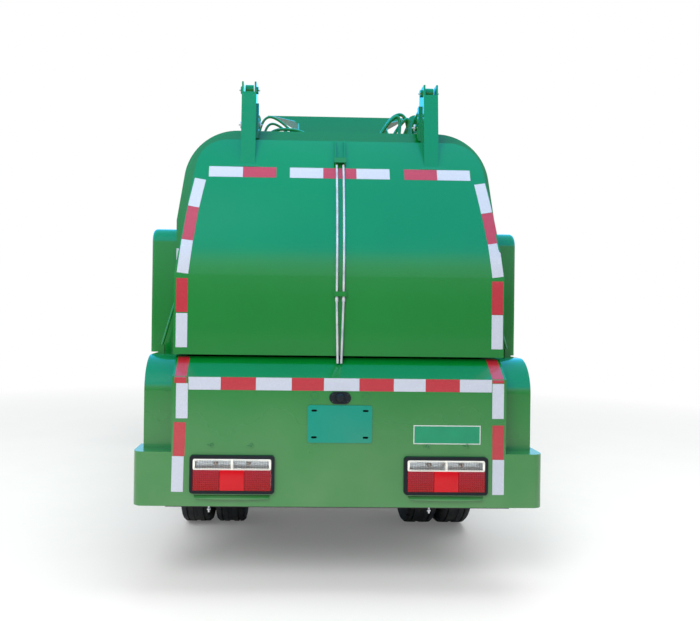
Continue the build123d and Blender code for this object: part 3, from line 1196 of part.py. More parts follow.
export_step(front_bumper.part, "parts/front_bumper.step")

# Front grille and headlamps, standing on the nose panel
with BuildPart() as grille:
    block((CAB_NOSE_X, CAB_NOSE_X + 14), (-440, 440), (880, 1130))
    block((CAB_NOSE_X + 5, CAB_NOSE_X + 15), (-415, 415), (905, 1105), Mode.SUBTRACT)
    for slat in range(4):
        slat_z = 935 + slat * 44
        block((CAB_NOSE_X + 4, CAB_NOSE_X + 12), (-416, 416), (slat_z, slat_z + 16))
grille.part.label = "grille"
export_step(grille.part, "parts/grille.step")
with BuildPart() as headlamps:
    for name, side in SIDES:
        with BuildSketch(Plane.YZ.offset(CAB_NOSE_X)) as lamp:
            with Locations((side * 560, 790)):
                RectangleRounded(200, 130, 40)
        extrude(lamp.sketch, amount=22)
headlamps.part.label = "headlamps"
export_step(headlamps.part, "parts/headlamps.step")

# Inside the cab: dashboard with the steering column, steering wheel, seat boxes and seats
CAB_INSIDE_Z = ARCH_TOP + 35
WHEEL_CENTRE = Vector(CAB_NOSE_X - 430, 360, 1285)
WHEEL_AXIS = Vector(0.62, 0, -0.78).normalized()
DASH_X = (CAB_NOSE_X - 320, CAB_NOSE_X - 110)
with BuildPart() as dashboard:
    dash = [
        (DASH_X[0] + 40, 1010), (DASH_X[0], 1120), (DASH_X[0] + 30, 1225), (DASH_X[1], 1235),
        (DASH_X[1], 1010),
    ]
    side_cut(dash, (-780, 780))
    block((DASH_X[1] - 120, DASH_X[1]), (-330, 330), (CAB_INSIDE_Z, 1012))
    bar(24, WHEEL_CENTRE + WHEEL_AXIS * 45, WHEEL_CENTRE + WHEEL_AXIS * 190)
dashboard.part.label = "dashboard"
export_step(dashboard.part, "parts/dashboard.step")
with BuildPart() as steering_wheel:
    with BuildSketch(Plane(origin=WHEEL_CENTRE, x_dir=(0, 1, 0), z_dir=WHEEL_AXIS)) as hub:
        Circle(52)
        Rectangle(360, 34)
    extrude(hub.sketch, amount=44)
    with Locations(Plane(origin=WHEEL_CENTRE + WHEEL_AXIS * 15, x_dir=(0, 1, 0), z_dir=WHEEL_AXIS)):
        Torus(188, 14)
steering_wheel.part.label = "steering_wheel"
export_step(steering_wheel.part, "parts/steering_wheel.step")
SEATS = ((380, 460), (-340, 700))
SEAT_X = CAB_REAR_X + 300
SEAT_LOW = 990
with BuildPart() as seat_boxes:
    for seat_y, width in SEATS:
        box_y = (seat_y - width / 2 + 30, seat_y + width / 2 - 30)
        block((SEAT_X, SEAT_X + 460), box_y, (CAB_INSIDE_Z, SEAT_LOW))
seat_boxes.part.label = "seat_boxes"
export_step(seat_boxes.part, "parts/seat_boxes.step")
with BuildPart() as seats:
    for seat_y, width in SEATS:
        seat = [
            (SEAT_X, SEAT_LOW), (SEAT_X + 500, SEAT_LOW), (SEAT_X + 510, SEAT_LOW + 105),
            (SEAT_X + 60, SEAT_LOW + 90),
            (SEAT_X - 30, SEAT_LOW + 650), (SEAT_X - 140, SEAT_LOW + 640), (SEAT_X - 70, SEAT_LOW + 50),
        ]
        side_cut(seat, (seat_y - width / 2, seat_y + width / 2))
    fillet(seats.edges().filter_by(Axis.Y), 18)
seats.part.label = "seats"
export_step(seats.part, "parts/seats.step")
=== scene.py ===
# %% [markdown]
# A small refuse truck seen from straight behind, on a plain pale floor.
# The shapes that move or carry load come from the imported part, and this script gives them
# their finishes and adds what is only looked at: tape, bolts, lamp insides, tread, hoses.
# Everything is in metres, X forward, Y to the truck's left, Z up, with the floor at zero.

import math

import bpy
from mathutils import Matrix, Vector


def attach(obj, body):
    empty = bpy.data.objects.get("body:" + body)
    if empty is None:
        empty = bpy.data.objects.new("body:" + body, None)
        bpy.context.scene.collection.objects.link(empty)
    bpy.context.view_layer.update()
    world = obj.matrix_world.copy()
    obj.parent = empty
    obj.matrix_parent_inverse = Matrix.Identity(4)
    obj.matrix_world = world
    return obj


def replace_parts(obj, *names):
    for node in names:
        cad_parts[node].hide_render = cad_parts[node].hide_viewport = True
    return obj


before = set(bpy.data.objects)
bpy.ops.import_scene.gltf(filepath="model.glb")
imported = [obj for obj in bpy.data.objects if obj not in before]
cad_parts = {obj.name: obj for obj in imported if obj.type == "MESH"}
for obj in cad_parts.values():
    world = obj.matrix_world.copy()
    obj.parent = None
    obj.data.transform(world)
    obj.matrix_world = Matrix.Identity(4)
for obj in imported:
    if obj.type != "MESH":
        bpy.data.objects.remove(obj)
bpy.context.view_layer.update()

# %% [markdown]
# Small helpers for the materials.
# A finish is built from a few nodes, so one function adds a node, sets its inputs and makes
# its links, and every material below is written with it.

# %% Material helpers


def linear(hex_colour):
    """The scene-linear RGBA of a colour written as sRGB hex."""
    channels = []
    for place in (0, 2, 4):
        value = int(hex_colour[place:place + 2], 16) / 255
        if value <= 0.04045:
            channels.append(value / 12.92)
        else:
            channels.append(((value + 0.055) / 1.055) ** 2.4)
    return (*channels, 1.0)


def add_node(tree, kind, settings=None, inputs=None, links=None):
    """Adds a node, sets its properties and inputs, and links sockets into it."""
    node = tree.nodes.new(kind)
    for name, value in (settings or {}).items():
        setattr(node, name, value)
    for name, value in (inputs or {}).items():
        node.inputs[name].default_value = value
    for name, socket in (links or {}).items():
        tree.links.new(socket, node.inputs[name])
    return node


def new_material(name):
    """A material with its Principled shader and Object coordinates ready to use."""
    material = bpy.data.materials.new(name)
    material.use_nodes = True
    tree = material.node_tree
    shader = tree.nodes["Principled BSDF"]
    place = add_node(tree, "ShaderNodeTexCoord").outputs["Object"]
    return material, tree, shader, place


def ramp_of(tree, socket, low, high, low_value, high_value):
    """Maps a socket from low..high to low_value..high_value, clamped at both ends."""
    span = {"From Min": low, "From Max": high, "To Min": low_value, "To Max": high_value}
    return add_node(tree, "ShaderNodeMapRange", None, span, {"Value": socket}).outputs["Result"]


def noise(tree, place, size, detail=3.0):
    """Noise whose blobs are about size metres across."""
    scale = {"Scale": 1 / size, "Detail": detail}
    return add_node(tree, "ShaderNodeTexNoise", None, scale, {"Vector": place}).outputs["Fac"]


def mix_colours(tree, factor, first, second):
    """A colour between first and second, each a colour value or a socket."""
    node = add_node(tree, "ShaderNodeMix", {"data_type": "RGBA"})
    tree.links.new(factor, node.inputs[0])
    for place, colour in ((6, first), (7, second)):
        if isinstance(colour, tuple):
            node.inputs[place].default_value = colour
        else:
            tree.links.new(colour, node.inputs[place])
    return node.outputs[2]


def bumped(tree, height, distance, strength=1.0):
    """A normal from a height socket, with distance as the real depth in metres."""
    depth = {"Distance": distance, "Strength": strength}
    return add_node(tree, "ShaderNodeBump", None, depth, {"Height": height}).outputs["Normal"]


def two_tone(tree, factor, first, second):
    """Blends two sRGB hex colours by a socket and links them to the base colour."""
    blend = mix_colours(tree, factor, linear(first), linear(second))
    tree.links.new(blend, tree.nodes["Principled BSDF"].inputs["Base Color"])


def ripple(tree, place, axis, pitch):
    """A sine wave along one axis, with its pitch in metres."""
    along = add_node(tree, "ShaderNodeSeparateXYZ", links={"Vector": place}).outputs[axis]
    scaled = add_node(tree, "ShaderNodeMath", {"operation": "MULTIPLY"}, {1: 2 * math.pi / pitch},
                      {0: along})
    return add_node(tree, "ShaderNodeMath", {"operation": "SINE"}, links={0: scaled.outputs[0]}).outputs[0]


# %% [markdown]
# Body paint is a deep emerald enamel over sheet steel.
# A clear coat gives the sharp highlight, a very shallow long wave in the surface breaks the
# reflection as rolled sheet does, and road dust dulls the paint low down on the truck.

# %% Green enamel


def enamel(name, colour, shade, gloss, coat, shine):
    """Sheet-steel paint between two close greens, dusted low down on the truck."""
    material, tree, shader, place = new_material(name)
    height = add_node(tree, "ShaderNodeSeparateXYZ", links={"Vector": place}).outputs["Z"]
    low_down = ramp_of(tree, height, 0.35, 0.95, 0.45, 0.0)
    patches = noise(tree, place, 0.22)
    dust = add_node(tree, "ShaderNodeMath", {"operation": "MULTIPLY"}, links={0: patches, 1: low_down})
    faded = mix_colours(tree, noise(tree, place, 0.6), linear(colour), linear(shade))
    tree.links.new(mix_colours(tree, dust.outputs[0], faded, linear("7C8F6A")), shader.inputs["Base Color"])
    tree.links.new(ramp_of(tree, dust.outputs[0], 0.0, 0.3, gloss, 0.5), shader.inputs["Roughness"])
    tree.links.new(bumped(tree, noise(tree, place, 0.30, 1.0), 0.0015), shader.inputs["Normal"])
    shader.inputs["Coat Weight"].default_value = coat
    shader.inputs["Coat Roughness"].default_value = 0.05
    shader.inputs["Specular IOR Level"].default_value = shine
    return material


paint = enamel("green_enamel_on_sheet_steel", "006A22", "00782A", 0.2, 0.5, 0.5)
panel_paint = enamel("teal_enamel_on_plate_panel", "00806F", "008C7C", 0.5, 0.0, 0.1)

# %% [markdown]
# The chassis wears a matt black anti-rust coat that is thicker in places.
# Fine grain keeps it from looking like plastic, and dust settles on it in soft patches.

# %% Black chassis coat
chassis_black, tree, shader, place = new_material("matt_black_chassis_coat")
patches = ramp_of(tree, noise(tree, place, 0.12), 0.45, 0.75, 0.0, 0.6)
two_tone(tree, patches, "1B1C1D", "3A3833")
tree.links.new(bumped(tree, noise(tree, place, 0.004), 0.0004), shader.inputs["Normal"])
shader.inputs["Roughness"].default_value = 0.62

# %% [markdown]
# The engine and gearbox are sand-cast iron and aluminium under an oily film.
# The casting skin is a coarse grain, and the film makes darker, shinier spots.

# %% Cast metal
cast_metal, tree, shader, place = new_material("sand_cast_metal_with_oil_film")
film = ramp_of(tree, noise(tree, place, 0.09), 0.4, 0.7, 0.0, 1.0)
two_tone(tree, film, "6E7072", "3C3A37")
tree.links.new(ramp_of(tree, film, 0.0, 1.0, 0.6, 0.35), shader.inputs["Roughness"])
tree.links.new(bumped(tree, noise(tree, place, 0.003), 0.0005), shader.inputs["Normal"])
shader.inputs["Metallic"].default_value = 0.85

# %% [markdown]
# The exhaust is aluminised steel that has gone brown and dull with heat and road salt.
# Rust speckles are rougher and not metallic, so colour, roughness and metal share one mask.

# %% Heat-stained exhaust steel
exhaust_steel, tree, shader, place = new_material("heat_stained_exhaust_steel")
rust = ramp_of(tree, noise(tree, place, 0.035, 6.0), 0.52, 0.66, 0.0, 1.0)
two_tone(tree, rust, "8A847B", "6B4630")
tree.links.new(ramp_of(tree, rust, 0.0, 1.0, 0.38, 0.85), shader.inputs["Roughness"])
tree.links.new(ramp_of(tree, rust, 0.0, 1.0, 0.95, 0.1), shader.inputs["Metallic"])

# %% [markdown]
# The grille, mirror shells, lamp frames and the dashboard are grained black plastic.
# The grain is about a millimetre across and only shows as a soft, broken highlight.

# %% Black plastic
black_plastic, tree, shader, place = new_material("grained_black_plastic")
grain = noise(tree, place, 0.0012)
sun = ramp_of(tree, noise(tree, place, 0.25), 0.3, 0.7, 0.0, 1.0)
two_tone(tree, sun, "0D0E0F", "16181A")
tree.links.new(bumped(tree, grain, 0.0001), shader.inputs["Normal"])
shader.inputs["Roughness"].default_value = 0.5
shader.inputs["Specular IOR Level"].default_value = 0.25

# %% [markdown]
# Tail lamp covers are red acrylic over a prism pattern, dark where nothing is lit.
# The prisms run in small squares of about eight millimetres inside the cover.

# %% Red lamp acrylic
red_lens, tree, shader, place = new_material("red_acrylic_lens_with_prisms")
PRISM = 0.008
across, up = ripple(tree, place, "Y", PRISM), ripple(tree, place, "Z", PRISM)
prisms = add_node(tree, "ShaderNodeMath", {"operation": "ADD"}, links={0: across, 1: up})
two_tone(tree, ramp_of(tree, prisms.outputs[0], -2, 2, 0, 1), "72050A", "AC0812")
tree.links.new(bumped(tree, prisms.outputs[0], 0.0006, 0.6), shader.inputs["Normal"])
shader.inputs["Roughness"].default_value = 0.12
shader.inputs["Specular IOR Level"].default_value = 0.3
shader.inputs["Transmission Weight"].default_value = 0.05
shader.inputs["IOR"].default_value = 1.49

# %% [markdown]
# The clear lamp parts are the same acrylic without the dye, fluted to spread the light.
# Wide vertical flutes ripple the surface. The bright stripes that a headlamp or a reversing lamp shows are
# painted along them as lighter bands in the colour.

# %% Clear lamp acrylic
clear_lens, tree, shader, place = new_material("clear_fluted_acrylic_lens")
FLUTE = 0.011
flutes_and_painted_stripes = ripple(tree, place, "Y", FLUTE)
# Painted highlight: the colour swings between two whites with the flutes to paint the lamp's bright stripes.
two_tone(tree, ramp_of(tree, flutes_and_painted_stripes, -1, 1, 0, 1), "D8DCDD", "F3F5F5")
tree.links.new(bumped(tree, flutes_and_painted_stripes, 0.0002, 0.1), shader.inputs["Normal"])
shader.inputs["Roughness"].default_value = 0.02
shader.inputs["Transmission Weight"].default_value = 0.95
shader.inputs["IOR"].default_value = 1.49

# %% [markdown]
# The seats are covered in hard-wearing woven cloth.
# Threads cross at about two millimetres, with sheen from their fuzz and small dark flecks.

# %% Seat cloth
seat_cloth, tree, shader, place = new_material("woven_grey_seat_cloth")
THREAD = 0.0022
weave = add_node(tree, "ShaderNodeTexWave", {"bands_direction": "DIAGONAL"},
                 {"Scale": 0.31 / THREAD, "Distortion": 1.5, "Detail": 1.0}, {"Vector": place})
flecks = ramp_of(tree, noise(tree, place, 0.006), 0.55, 0.65, 0.0, 0.7)
woven = mix_colours(tree, weave.outputs["Fac"], linear("34373B"), linear("4B4F54"))
tree.links.new(mix_colours(tree, flecks, woven, linear("22252A")), shader.inputs["Base Color"])
tree.links.new(bumped(tree, weave.outputs["Fac"], 0.0006), shader.inputs["Normal"])
shader.inputs["Roughness"].default_value = 0.9
shader.inputs["Sheen Weight"].default_value = 0.35

# %% [markdown]
# Window glass is soda-lime glass with a faint green body colour.
# A thin film of dust in broad patches catches a little light.

# %% Window glass
window_glass, tree, shader, place = new_material("tinted_window_glass")
film = ramp_of(tree, noise(tree, place, 0.3), 0.35, 0.8, 0.02, 0.09)
tree.links.new(film, shader.inputs["Roughness"])
two_tone(tree, noise(tree, place, 0.5), "D5E6DD", "C9DDD4")
shader.inputs["Transmission Weight"].default_value = 1.0
shader.inputs["IOR"].default_value = 1.52

# %% [markdown]
# The two pipes down the tail door are drawn steel with a pale zinc finish.
# Handling leaves duller patches, and the pale film on the zinc hides most of its mirror.

# %% Zinc-plated pipe
bare_pipe, tree, shader, place = new_material("zinc_plated_drawn_steel")
dull = ramp_of(tree, noise(tree, place, 0.05), 0.4, 0.7, 0.0, 1.0)
two_tone(tree, dull, "CCCBD0", "A8A9AE")
tree.links.new(ramp_of(tree, dull, 0.0, 1.0, 0.25, 0.5), shader.inputs["Roughness"])
shader.inputs["Metallic"].default_value = 0.25

# %% [markdown]
# Tyre rubber is nearly black where it is washed and brown-grey where road dust has dried.
# Dust follows blotches a few centimetres across, and the rubber itself is fine-grained.

# %% Tyre rubber
tyre_rubber, tree, shader, place = new_material("dusty_tyre_rubber")
dried = ramp_of(tree, noise(tree, place, 0.06, 5.0), 0.48, 0.75, 0.0, 0.45)
two_tone(tree, dried, "141516", "443F38")
tree.links.new(bumped(tree, noise(tree, place, 0.0025), 0.0003), shader.inputs["Normal"])
shader.inputs["Roughness"].default_value = 0.82

# %% [markdown]
# The pressed steel wheels are sprayed silver, with brake dust in the hollows.
# The paint's metal flakes give a soft sparkle rather than a mirror reflection.

# %% Silver wheel paint
wheel_silver, tree, shader, place = new_material("silver_wheel_paint")
soot = ramp_of(tree, noise(tree, place, 0.045, 4.0), 0.5, 0.8, 0.0, 0.7)
two_tone(tree, soot, "A9ACAE", "57524C")
tree.links.new(bumped(tree, noise(tree, place, 0.0009), 0.00008), shader.inputs["Normal"])
shader.inputs["Metallic"].default_value = 0.6
shader.inputs["Roughness"].default_value = 0.36

# %% [markdown]
# The cylinders' rods are hard chrome, the brightest metal on the truck.
# A thin film of oil makes slightly duller bands round the rod, and its welded eye is painted
# green like the body.

# %% Hard chrome
chrome_rod, tree, shader, place = new_material("hard_chrome_rod_with_oil")
bands = add_node(tree, "ShaderNodeTexWave", {"bands_direction": "X"},
                 {"Scale": 6.0, "Distortion": 2.0}, {"Vector": place})
tree.links.new(ramp_of(tree, bands.outputs["Fac"], 0.0, 1.0, 0.06, 0.16), shader.inputs["Roughness"])
chrome = mix_colours(tree, bands.outputs["Fac"], linear("E4E6E7"), linear("D3D5D6"))
EYE_PAINT_X, CHROME_X = -2.142, -2.138
length = add_node(tree, "ShaderNodeSeparateXYZ", links={"Vector": place}).outputs["X"]
eye_end = ramp_of(tree, length, EYE_PAINT_X, CHROME_X, 1.0, 0.0)
tree.links.new(mix_colours(tree, eye_end, chrome, linear("04702A")), shader.inputs["Base Color"])
tree.links.new(ramp_of(tree, eye_end, 0.0, 1.0, 1.0, 0.0), shader.inputs["Metallic"])

# %% [markdown]
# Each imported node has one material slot, so its finish is chosen by the node's name.
# Most of the truck is the green enamel, and the exceptions are listed by what they are made of.

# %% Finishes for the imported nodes
FINISHES = (
    (chassis_black, ("chassis_frame", "front_axle", "rear_axle", "body_subframe", "cab_mounts",
                     "underrun_bar", "seat_boxes", "fuel_tank", "knuckle_left", "knuckle_right")),
    (cast_metal, ("engine",)),
    (exhaust_steel, ("exhaust",)),
    (black_plastic, ("rear_camera", "lamp_frames", "grille", "dashboard", "steering_wheel", "mirror_left",
                     "mirror_right")),
    (red_lens, ("lamp_lenses",)),
    (clear_lens, ("headlamps",)),
    (seat_cloth, ("seats",)),
    (window_glass, ("cab_screen", "door_glass_left", "door_glass_right")),
    (bare_pipe, ("door_pipes",)),
    (chrome_rod, ("rod_left", "rod_right")),
    (panel_paint, ("plate_panel",)),
)
finish_of = {name: finish for finish, names in FINISHES for name in names}
for name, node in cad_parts.items():
    if name.startswith("tyre_"):
        finish = tyre_rubber
    elif name.startswith("rim_"):
        finish = wheel_silver
    else:
        finish = finish_of.get(name, paint)
    node.data.materials.clear()
    node.data.materials.append(finish)
print("finished nodes", len(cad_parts))

# %% [markdown]
# Helpers for the pieces.
# Each piece starts as a primitive at its real size and place, is shaped in edit mode or by
# modifiers that are then applied, and ends with its place in its mesh and its object at the
# origin, so every finish is measured in real metres.

# %% Modelling helpers


def pick(piece):
    """Makes a piece the only selected and active object."""
    bpy.ops.object.select_all(action="DESELECT")
    piece.select_set(True)
    bpy.context.view_layer.objects.active = piece


def settled(name):
    """Names the new object and moves its place, turn and scale into its mesh."""
    piece = bpy.context.object
    piece.name = name
    pick(piece)
    bpy.ops.object.transform_apply(location=True, rotation=True, scale=True)
    return piece


def box_piece(name, low, high):
    """A box between two corners."""
    centre = [(a + b) / 2 for a, b in zip(low, high)]
    bpy.ops.mesh.primitive_cube_add(size=1.0, location=centre)
    bpy.context.object.scale = [abs(b - a) for a, b in zip(low, high)]
    return settled(name)


def rod_piece(name, start, end, radius, sides=24):
    """A round bar from one point to another."""
    start, end = Vector(start), Vector(end)
    turn = (end - start).to_track_quat("Z", "Y").to_euler()
    bpy.ops.mesh.primitive_cylinder_add(
        vertices=sides, radius=radius, depth=(end - start).length, location=(start + end) / 2, rotation=turn
    )
    return settled(name)


def applied(piece, kind, **settings):
    """Adds a modifier with its settings and applies it."""
    modifier = piece.modifiers.new(kind, kind)
    for name, value in settings.items():
        setattr(modifier, name, value)
    pick(piece)
    bpy.ops.object.modifier_apply(modifier=modifier.name)
    return piece


def rounded(piece, width, segments=2):
    """Rounds the piece's sharp edges."""
    return applied(piece, "BEVEL", width=width, segments=segments, limit_method="ANGLE")


def edit_all(piece):
    """Opens a piece in edit mode with all of it selected."""
    pick(piece)
    bpy.ops.object.mode_set(mode="EDIT")
    bpy.ops.mesh.select_all(action="SELECT")


def faces_towards(piece, direction):
    """In edit mode, selects only the faces that look in a direction."""
    pick(piece)
    bpy.ops.object.mode_set(mode="EDIT")
    bpy.ops.mesh.select_mode(type="FACE")
    bpy.ops.mesh.select_all(action="DESELECT")
    bpy.ops.object.mode_set(mode="OBJECT")
    for face in piece.data.polygons:
        face.select = face.normal.dot(Vector(direction)) > 0.99
    bpy.ops.object.mode_set(mode="EDIT")


def sunk(piece, direction, insets, push=None):
    """Insets the faces that look in a direction, step by step, and may push the last one."""
    faces_towards(piece, direction)
    for thickness, depth in insets:
        bpy.ops.mesh.inset(thickness=thickness, depth=depth)
    if push:
        bpy.ops.mesh.extrude_region_move(TRANSFORM_OT_translate={"value": push})
    bpy.ops.object.mode_set(mode="OBJECT")
    return piece


def tray(name, low, high, open_towards, wall, depth):
    """A box with one face inset by a wall and pushed in to a depth."""
    inward = [-part * depth for part in open_towards]
    return sunk(box_piece(name, low, high), open_towards, [(wall, 0.0)], inward)


def finished(piece, finish, body, smooth=35):
    """Gives a piece its finish, its soft shading and the body that it rides on."""
    piece.data.materials.clear()
    piece.data.materials.append(finish)
    pick(piece)
    bpy.ops.object.shade_smooth_by_angle(angle=math.radians(smooth))
    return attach(piece, body)


def ring_piece(name, corners, width, thickness, corner):
    """A flat ring whose outer edge runs through the corners, rounded by the corner's size."""
    bpy.ops.mesh.primitive_circle_add(vertices=len(corners), radius=1.0, fill_type="NGON")
    ring = settled(name)
    for vertex, place in zip(ring.data.vertices, corners):
        vertex.co = place
    edit_all(ring)
    bpy.ops.mesh.bevel(affect="VERTICES", offset=corner, segments=4, offset_type="OFFSET")
    bpy.ops.mesh.select_mode(type="FACE")
    bpy.ops.mesh.select_all(action="SELECT")
    bpy.ops.mesh.inset(thickness=width, depth=0.0)
    bpy.ops.mesh.delete(type="FACE")
    bpy.ops.object.mode_set(mode="OBJECT")
    applied(ring, "SOLIDIFY", thickness=thickness, offset=0.0)
    return rounded(ring, thickness * 0.25)


def twin_of(piece, name, move):
    """A copy with its own mesh, moved by a matrix."""
    twin = piece.copy()
    twin.data = piece.data.copy()
    twin.name = name
    bpy.context.scene.collection.objects.link(twin)
    twin.data.transform(move)
    return twin


def joined(name, pieces):
    """One object from several."""
    bpy.ops.object.select_all(action="DESELECT")
    for piece in pieces:
        piece.select_set(True)
    bpy.context.view_layer.objects.active = pieces[0]
    bpy.ops.object.join()
    bpy.context.object.name = name
    return bpy.context.object


def shift(x=0.0, y=0.0, z=0.0):
    """A matrix that moves by metres."""
    return Matrix.Translation((x, y, z))


SIDES = (("left", 1), ("right", -1))
APRON_REAR = -2.4500

# %% [markdown]
# Retro-reflective tape is a thin film of tiny glass prisms in small sealed cells.
# The cells show as a faint net of four millimetres; white looks silvery and red looks deep.

# %% Tape finishes
TAPE_CELL = 0.004


def tape_finish(name, cell_colour, seam_colour):
    """Retro-reflective film with a net of sealed cells."""
    material, tree, shader, place = new_material(name)
    cells = add_node(tree, "ShaderNodeTexVoronoi", {"feature": "DISTANCE_TO_EDGE"}, {"Scale": 1 / TAPE_CELL},
                     {"Vector": place})
    seams = ramp_of(tree, cells.outputs["Distance"], 0.0, 0.12, 1.0, 0.0)
    tree.links.new(mix_colours(tree, seams, linear(cell_colour), linear(seam_colour)),
                   shader.inputs["Base Color"])
    shader.inputs["Roughness"].default_value = 0.28
    shader.inputs["Coat Weight"].default_value = 0.5
    return material


white_tape = tape_finish("white_retroreflective_film", "AEB4C4", "C6CBD8")
red_tape = tape_finish("red_retroreflective_film", "A01522", "B83444")

# %% [markdown]
# The tape is cut in fifty-millimetre strips about a hundred and fifty long, red after white.
# Each strip starts as a flat grid behind the truck, is pressed forward onto the panel it
# sticks to, so that it follows the bulge and folds over the ledge, and then gets its film
# thickness. A strip's middle, length and lean are given in the rear view.

# %% Tape on the tail door and the apron
TAPE_WIDTH, LEDGE_TAPE_WIDTH = 0.050, 0.054
TAPE_FILM = 0.0004
START_X = -2.6


def tape(name, middle, length, lean, width, node, body, finish):
    """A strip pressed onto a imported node. Lean turns its length from level to upright."""
    bpy.ops.mesh.primitive_grid_add(x_subdivisions=16, y_subdivisions=6, size=1.0)
    along = Vector((0, math.cos(lean), math.sin(lean)))
    outward = Vector((-1, 0, 0))
    across = outward.cross(along)
    turn = Matrix((along * length, across * width, outward)).transposed().to_4x4()
    bpy.context.object.matrix_world = shift(START_X, *middle) @ turn
    strip = settled(name)
    applied(strip, "SHRINKWRAP", target=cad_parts[node], wrap_method="PROJECT", use_project_x=True,
            use_negative_direction=False, offset=TAPE_FILM)
    applied(strip, "SOLIDIFY", thickness=TAPE_FILM, offset=1.0)
    return finished(strip, finish, body, 60)


UPRIGHT = math.radians(90)
# Each row: the strip's name, its middle in Y and Z, its length, its lean and its colour.
DOOR_STRIPS = [
    ("top_1", (0.513, 1.837), 0.152, 0.0, "w"), ("top_2", (0.362, 1.837), 0.150, 0.0, "r"),
    ("top_3", (0.151, 1.837), 0.150, 0.0, "w"), ("top_4", (0.001, 1.837), 0.150, 0.0, "r"),
    ("top_5", (-0.149, 1.837), 0.150, 0.0, "w"), ("top_6", (-0.365, 1.837), 0.150, 0.0, "r"),
    ("top_7", (-0.514, 1.837), 0.150, 0.0, "w"),
    ("left_1", (0.637, 1.735), 0.132, math.radians(100.5), "w"),
    ("left_2", (0.660, 1.595), 0.151, math.radians(97.6), "r"),
    ("left_3", (0.680, 1.447), 0.147, math.radians(97.0), "w"),
    ("left_4", (0.690, 1.278), 0.148, UPRIGHT, "r"), ("left_5", (0.690, 1.125), 0.149, UPRIGHT, "w"),
    ("right_1", (-0.640, 1.729), 0.138, math.radians(80.5), "w"),
    ("right_2", (-0.664, 1.591), 0.140, math.radians(80.3), "r"),
    ("right_3", (-0.686, 1.448), 0.150, math.radians(82.5), "w"),
    ("right_4", (-0.695, 1.282), 0.147, UPRIGHT, "r"), ("right_5", (-0.695, 1.132), 0.150, UPRIGHT, "w"),
]
APRON_STRIPS = [
    ("fold_left", (0.680, 0.955), 0.106, UPRIGHT, "r"),
    ("low_left_1", (0.673, 0.827), 0.149, UPRIGHT, "w"),
    ("low_left_2", (0.682, 0.664), 0.144, math.radians(91.5), "r"),
    ("low_left_3", (0.688, 0.516), 0.151, math.radians(90.8), "w"),
    ("fold_right", (-0.679, 0.962), 0.096, UPRIGHT, "r"),
    ("low_right_1", (-0.679, 0.837), 0.150, UPRIGHT, "w"),
    ("low_right_2", (-0.681, 0.660), 0.147, UPRIGHT, "r"),
    ("low_right_3", (-0.683, 0.511), 0.150, UPRIGHT, "w"),
]
ROW_EDGES = (0.646, 0.509, 0.360, 0.207, 0.070, -0.082, -0.229, -0.366, -0.513, -0.652)
ROW_Z, ROW_GAP = 0.902, 0.0006
for count, (start, end) in enumerate(zip(ROW_EDGES, ROW_EDGES[1:])):
    middle = ((start + end) / 2, ROW_Z)
    APRON_STRIPS.append((f"row_{count}", middle, start - end - ROW_GAP, 0.0, "wr"[count % 2]))
tape_of = {"w": white_tape, "r": red_tape}
for name, middle, length, lean, colour in DOOR_STRIPS:
    tape(f"tape_{name}", middle, length, lean, TAPE_WIDTH, "tail_door", "tail_door", tape_of[colour])
for name, middle, length, lean, colour in APRON_STRIPS:
    width = LEDGE_TAPE_WIDTH if name.startswith("row") else TAPE_WIDTH
    tape(f"tape_{name}", middle, length, lean, width, "rear_apron", "chassis", tape_of[colour])
print("tape strips", len(DOOR_STRIPS) + len(APRON_STRIPS))

# %% [markdown]
# A small printed sign sits low on the right of the apron. Its words are left off, so it is a
# bare green field in a white border. The border is the sheet's own edge, and the field is
# one inset face with a second finish.

# %% Sign plate
sign_green, tree, shader, place = new_material("printed_green_sign_film")
two_tone(tree, noise(tree, place, 0.08), "037A55", "058A60")
shader.inputs["Roughness"].default_value = 0.35
sign_white, tree, shader, place = new_material("white_sign_border_film")
two_tone(tree, noise(tree, place, 0.05), "C2CAC8", "B5BDBA")
shader.inputs["Roughness"].default_value = 0.35
SIGN_BORDER = 0.0038
sign = box_piece("sign_plate", (APRON_REAR - 0.0010, -0.605, 0.651), (APRON_REAR - 0.0001, -0.316, 0.732))
sunk(rounded(sign, 0.0003, 1), (-1, 0, 0), [(SIGN_BORDER, 0.0)])
finished(sign, sign_white, "chassis")
sign.data.materials.append(sign_green)
for face in sign.data.polygons:
    if face.select:
        face.material_index = 1

# %% [markdown]
# Behind the tail lamps' covers sits a bright tray with bulbs, and the covers come in parts.
# The top third is clear, in two windows with a white divider, and the rest is red in three
# fields, the middle one plainer. A tray is a box with one face inset and pushed in.

# %% Tail lamp finishes
lamp_white, tree, shader, place = new_material("white_lamp_housing_plastic")
two_tone(tree, noise(tree, place, 0.05), "E9E6DE", "F4F2EC")
shader.inputs["Roughness"].default_value = 0.3
reflector, tree, shader, place = new_material("vacuum_plated_lamp_reflector")
waves = noise(tree, place, 0.012)
tree.links.new(bumped(tree, waves, 0.0012), shader.inputs["Normal"])
two_tone(tree, waves, "DCE2EA", "F6F8FA")
shader.inputs["Metallic"].default_value = 0.7
shader.inputs["Roughness"].default_value = 0.22
bulb_glass, tree, shader, place = new_material("amber_bulb_glass")
two_tone(tree, noise(tree, place, 0.01), "B07A4A", "6A6D72")
shader.inputs["Roughness"].default_value = 0.1
plain_red, tree, shader, place = new_material("plain_red_reflex_acrylic")
REFLEX_CELL = 0.003
cells = add_node(tree, "ShaderNodeTexVoronoi", {"distance": "CHEBYCHEV"},
                 {"Scale": 1 / REFLEX_CELL, "Randomness": 0.0}, {"Vector": place})
two_tone(tree, cells.outputs["Distance"], "CA0418", "A0040F")
shader.inputs["Roughness"].default_value = 0.14
shader.inputs["Specular IOR Level"].default_value = 0.3

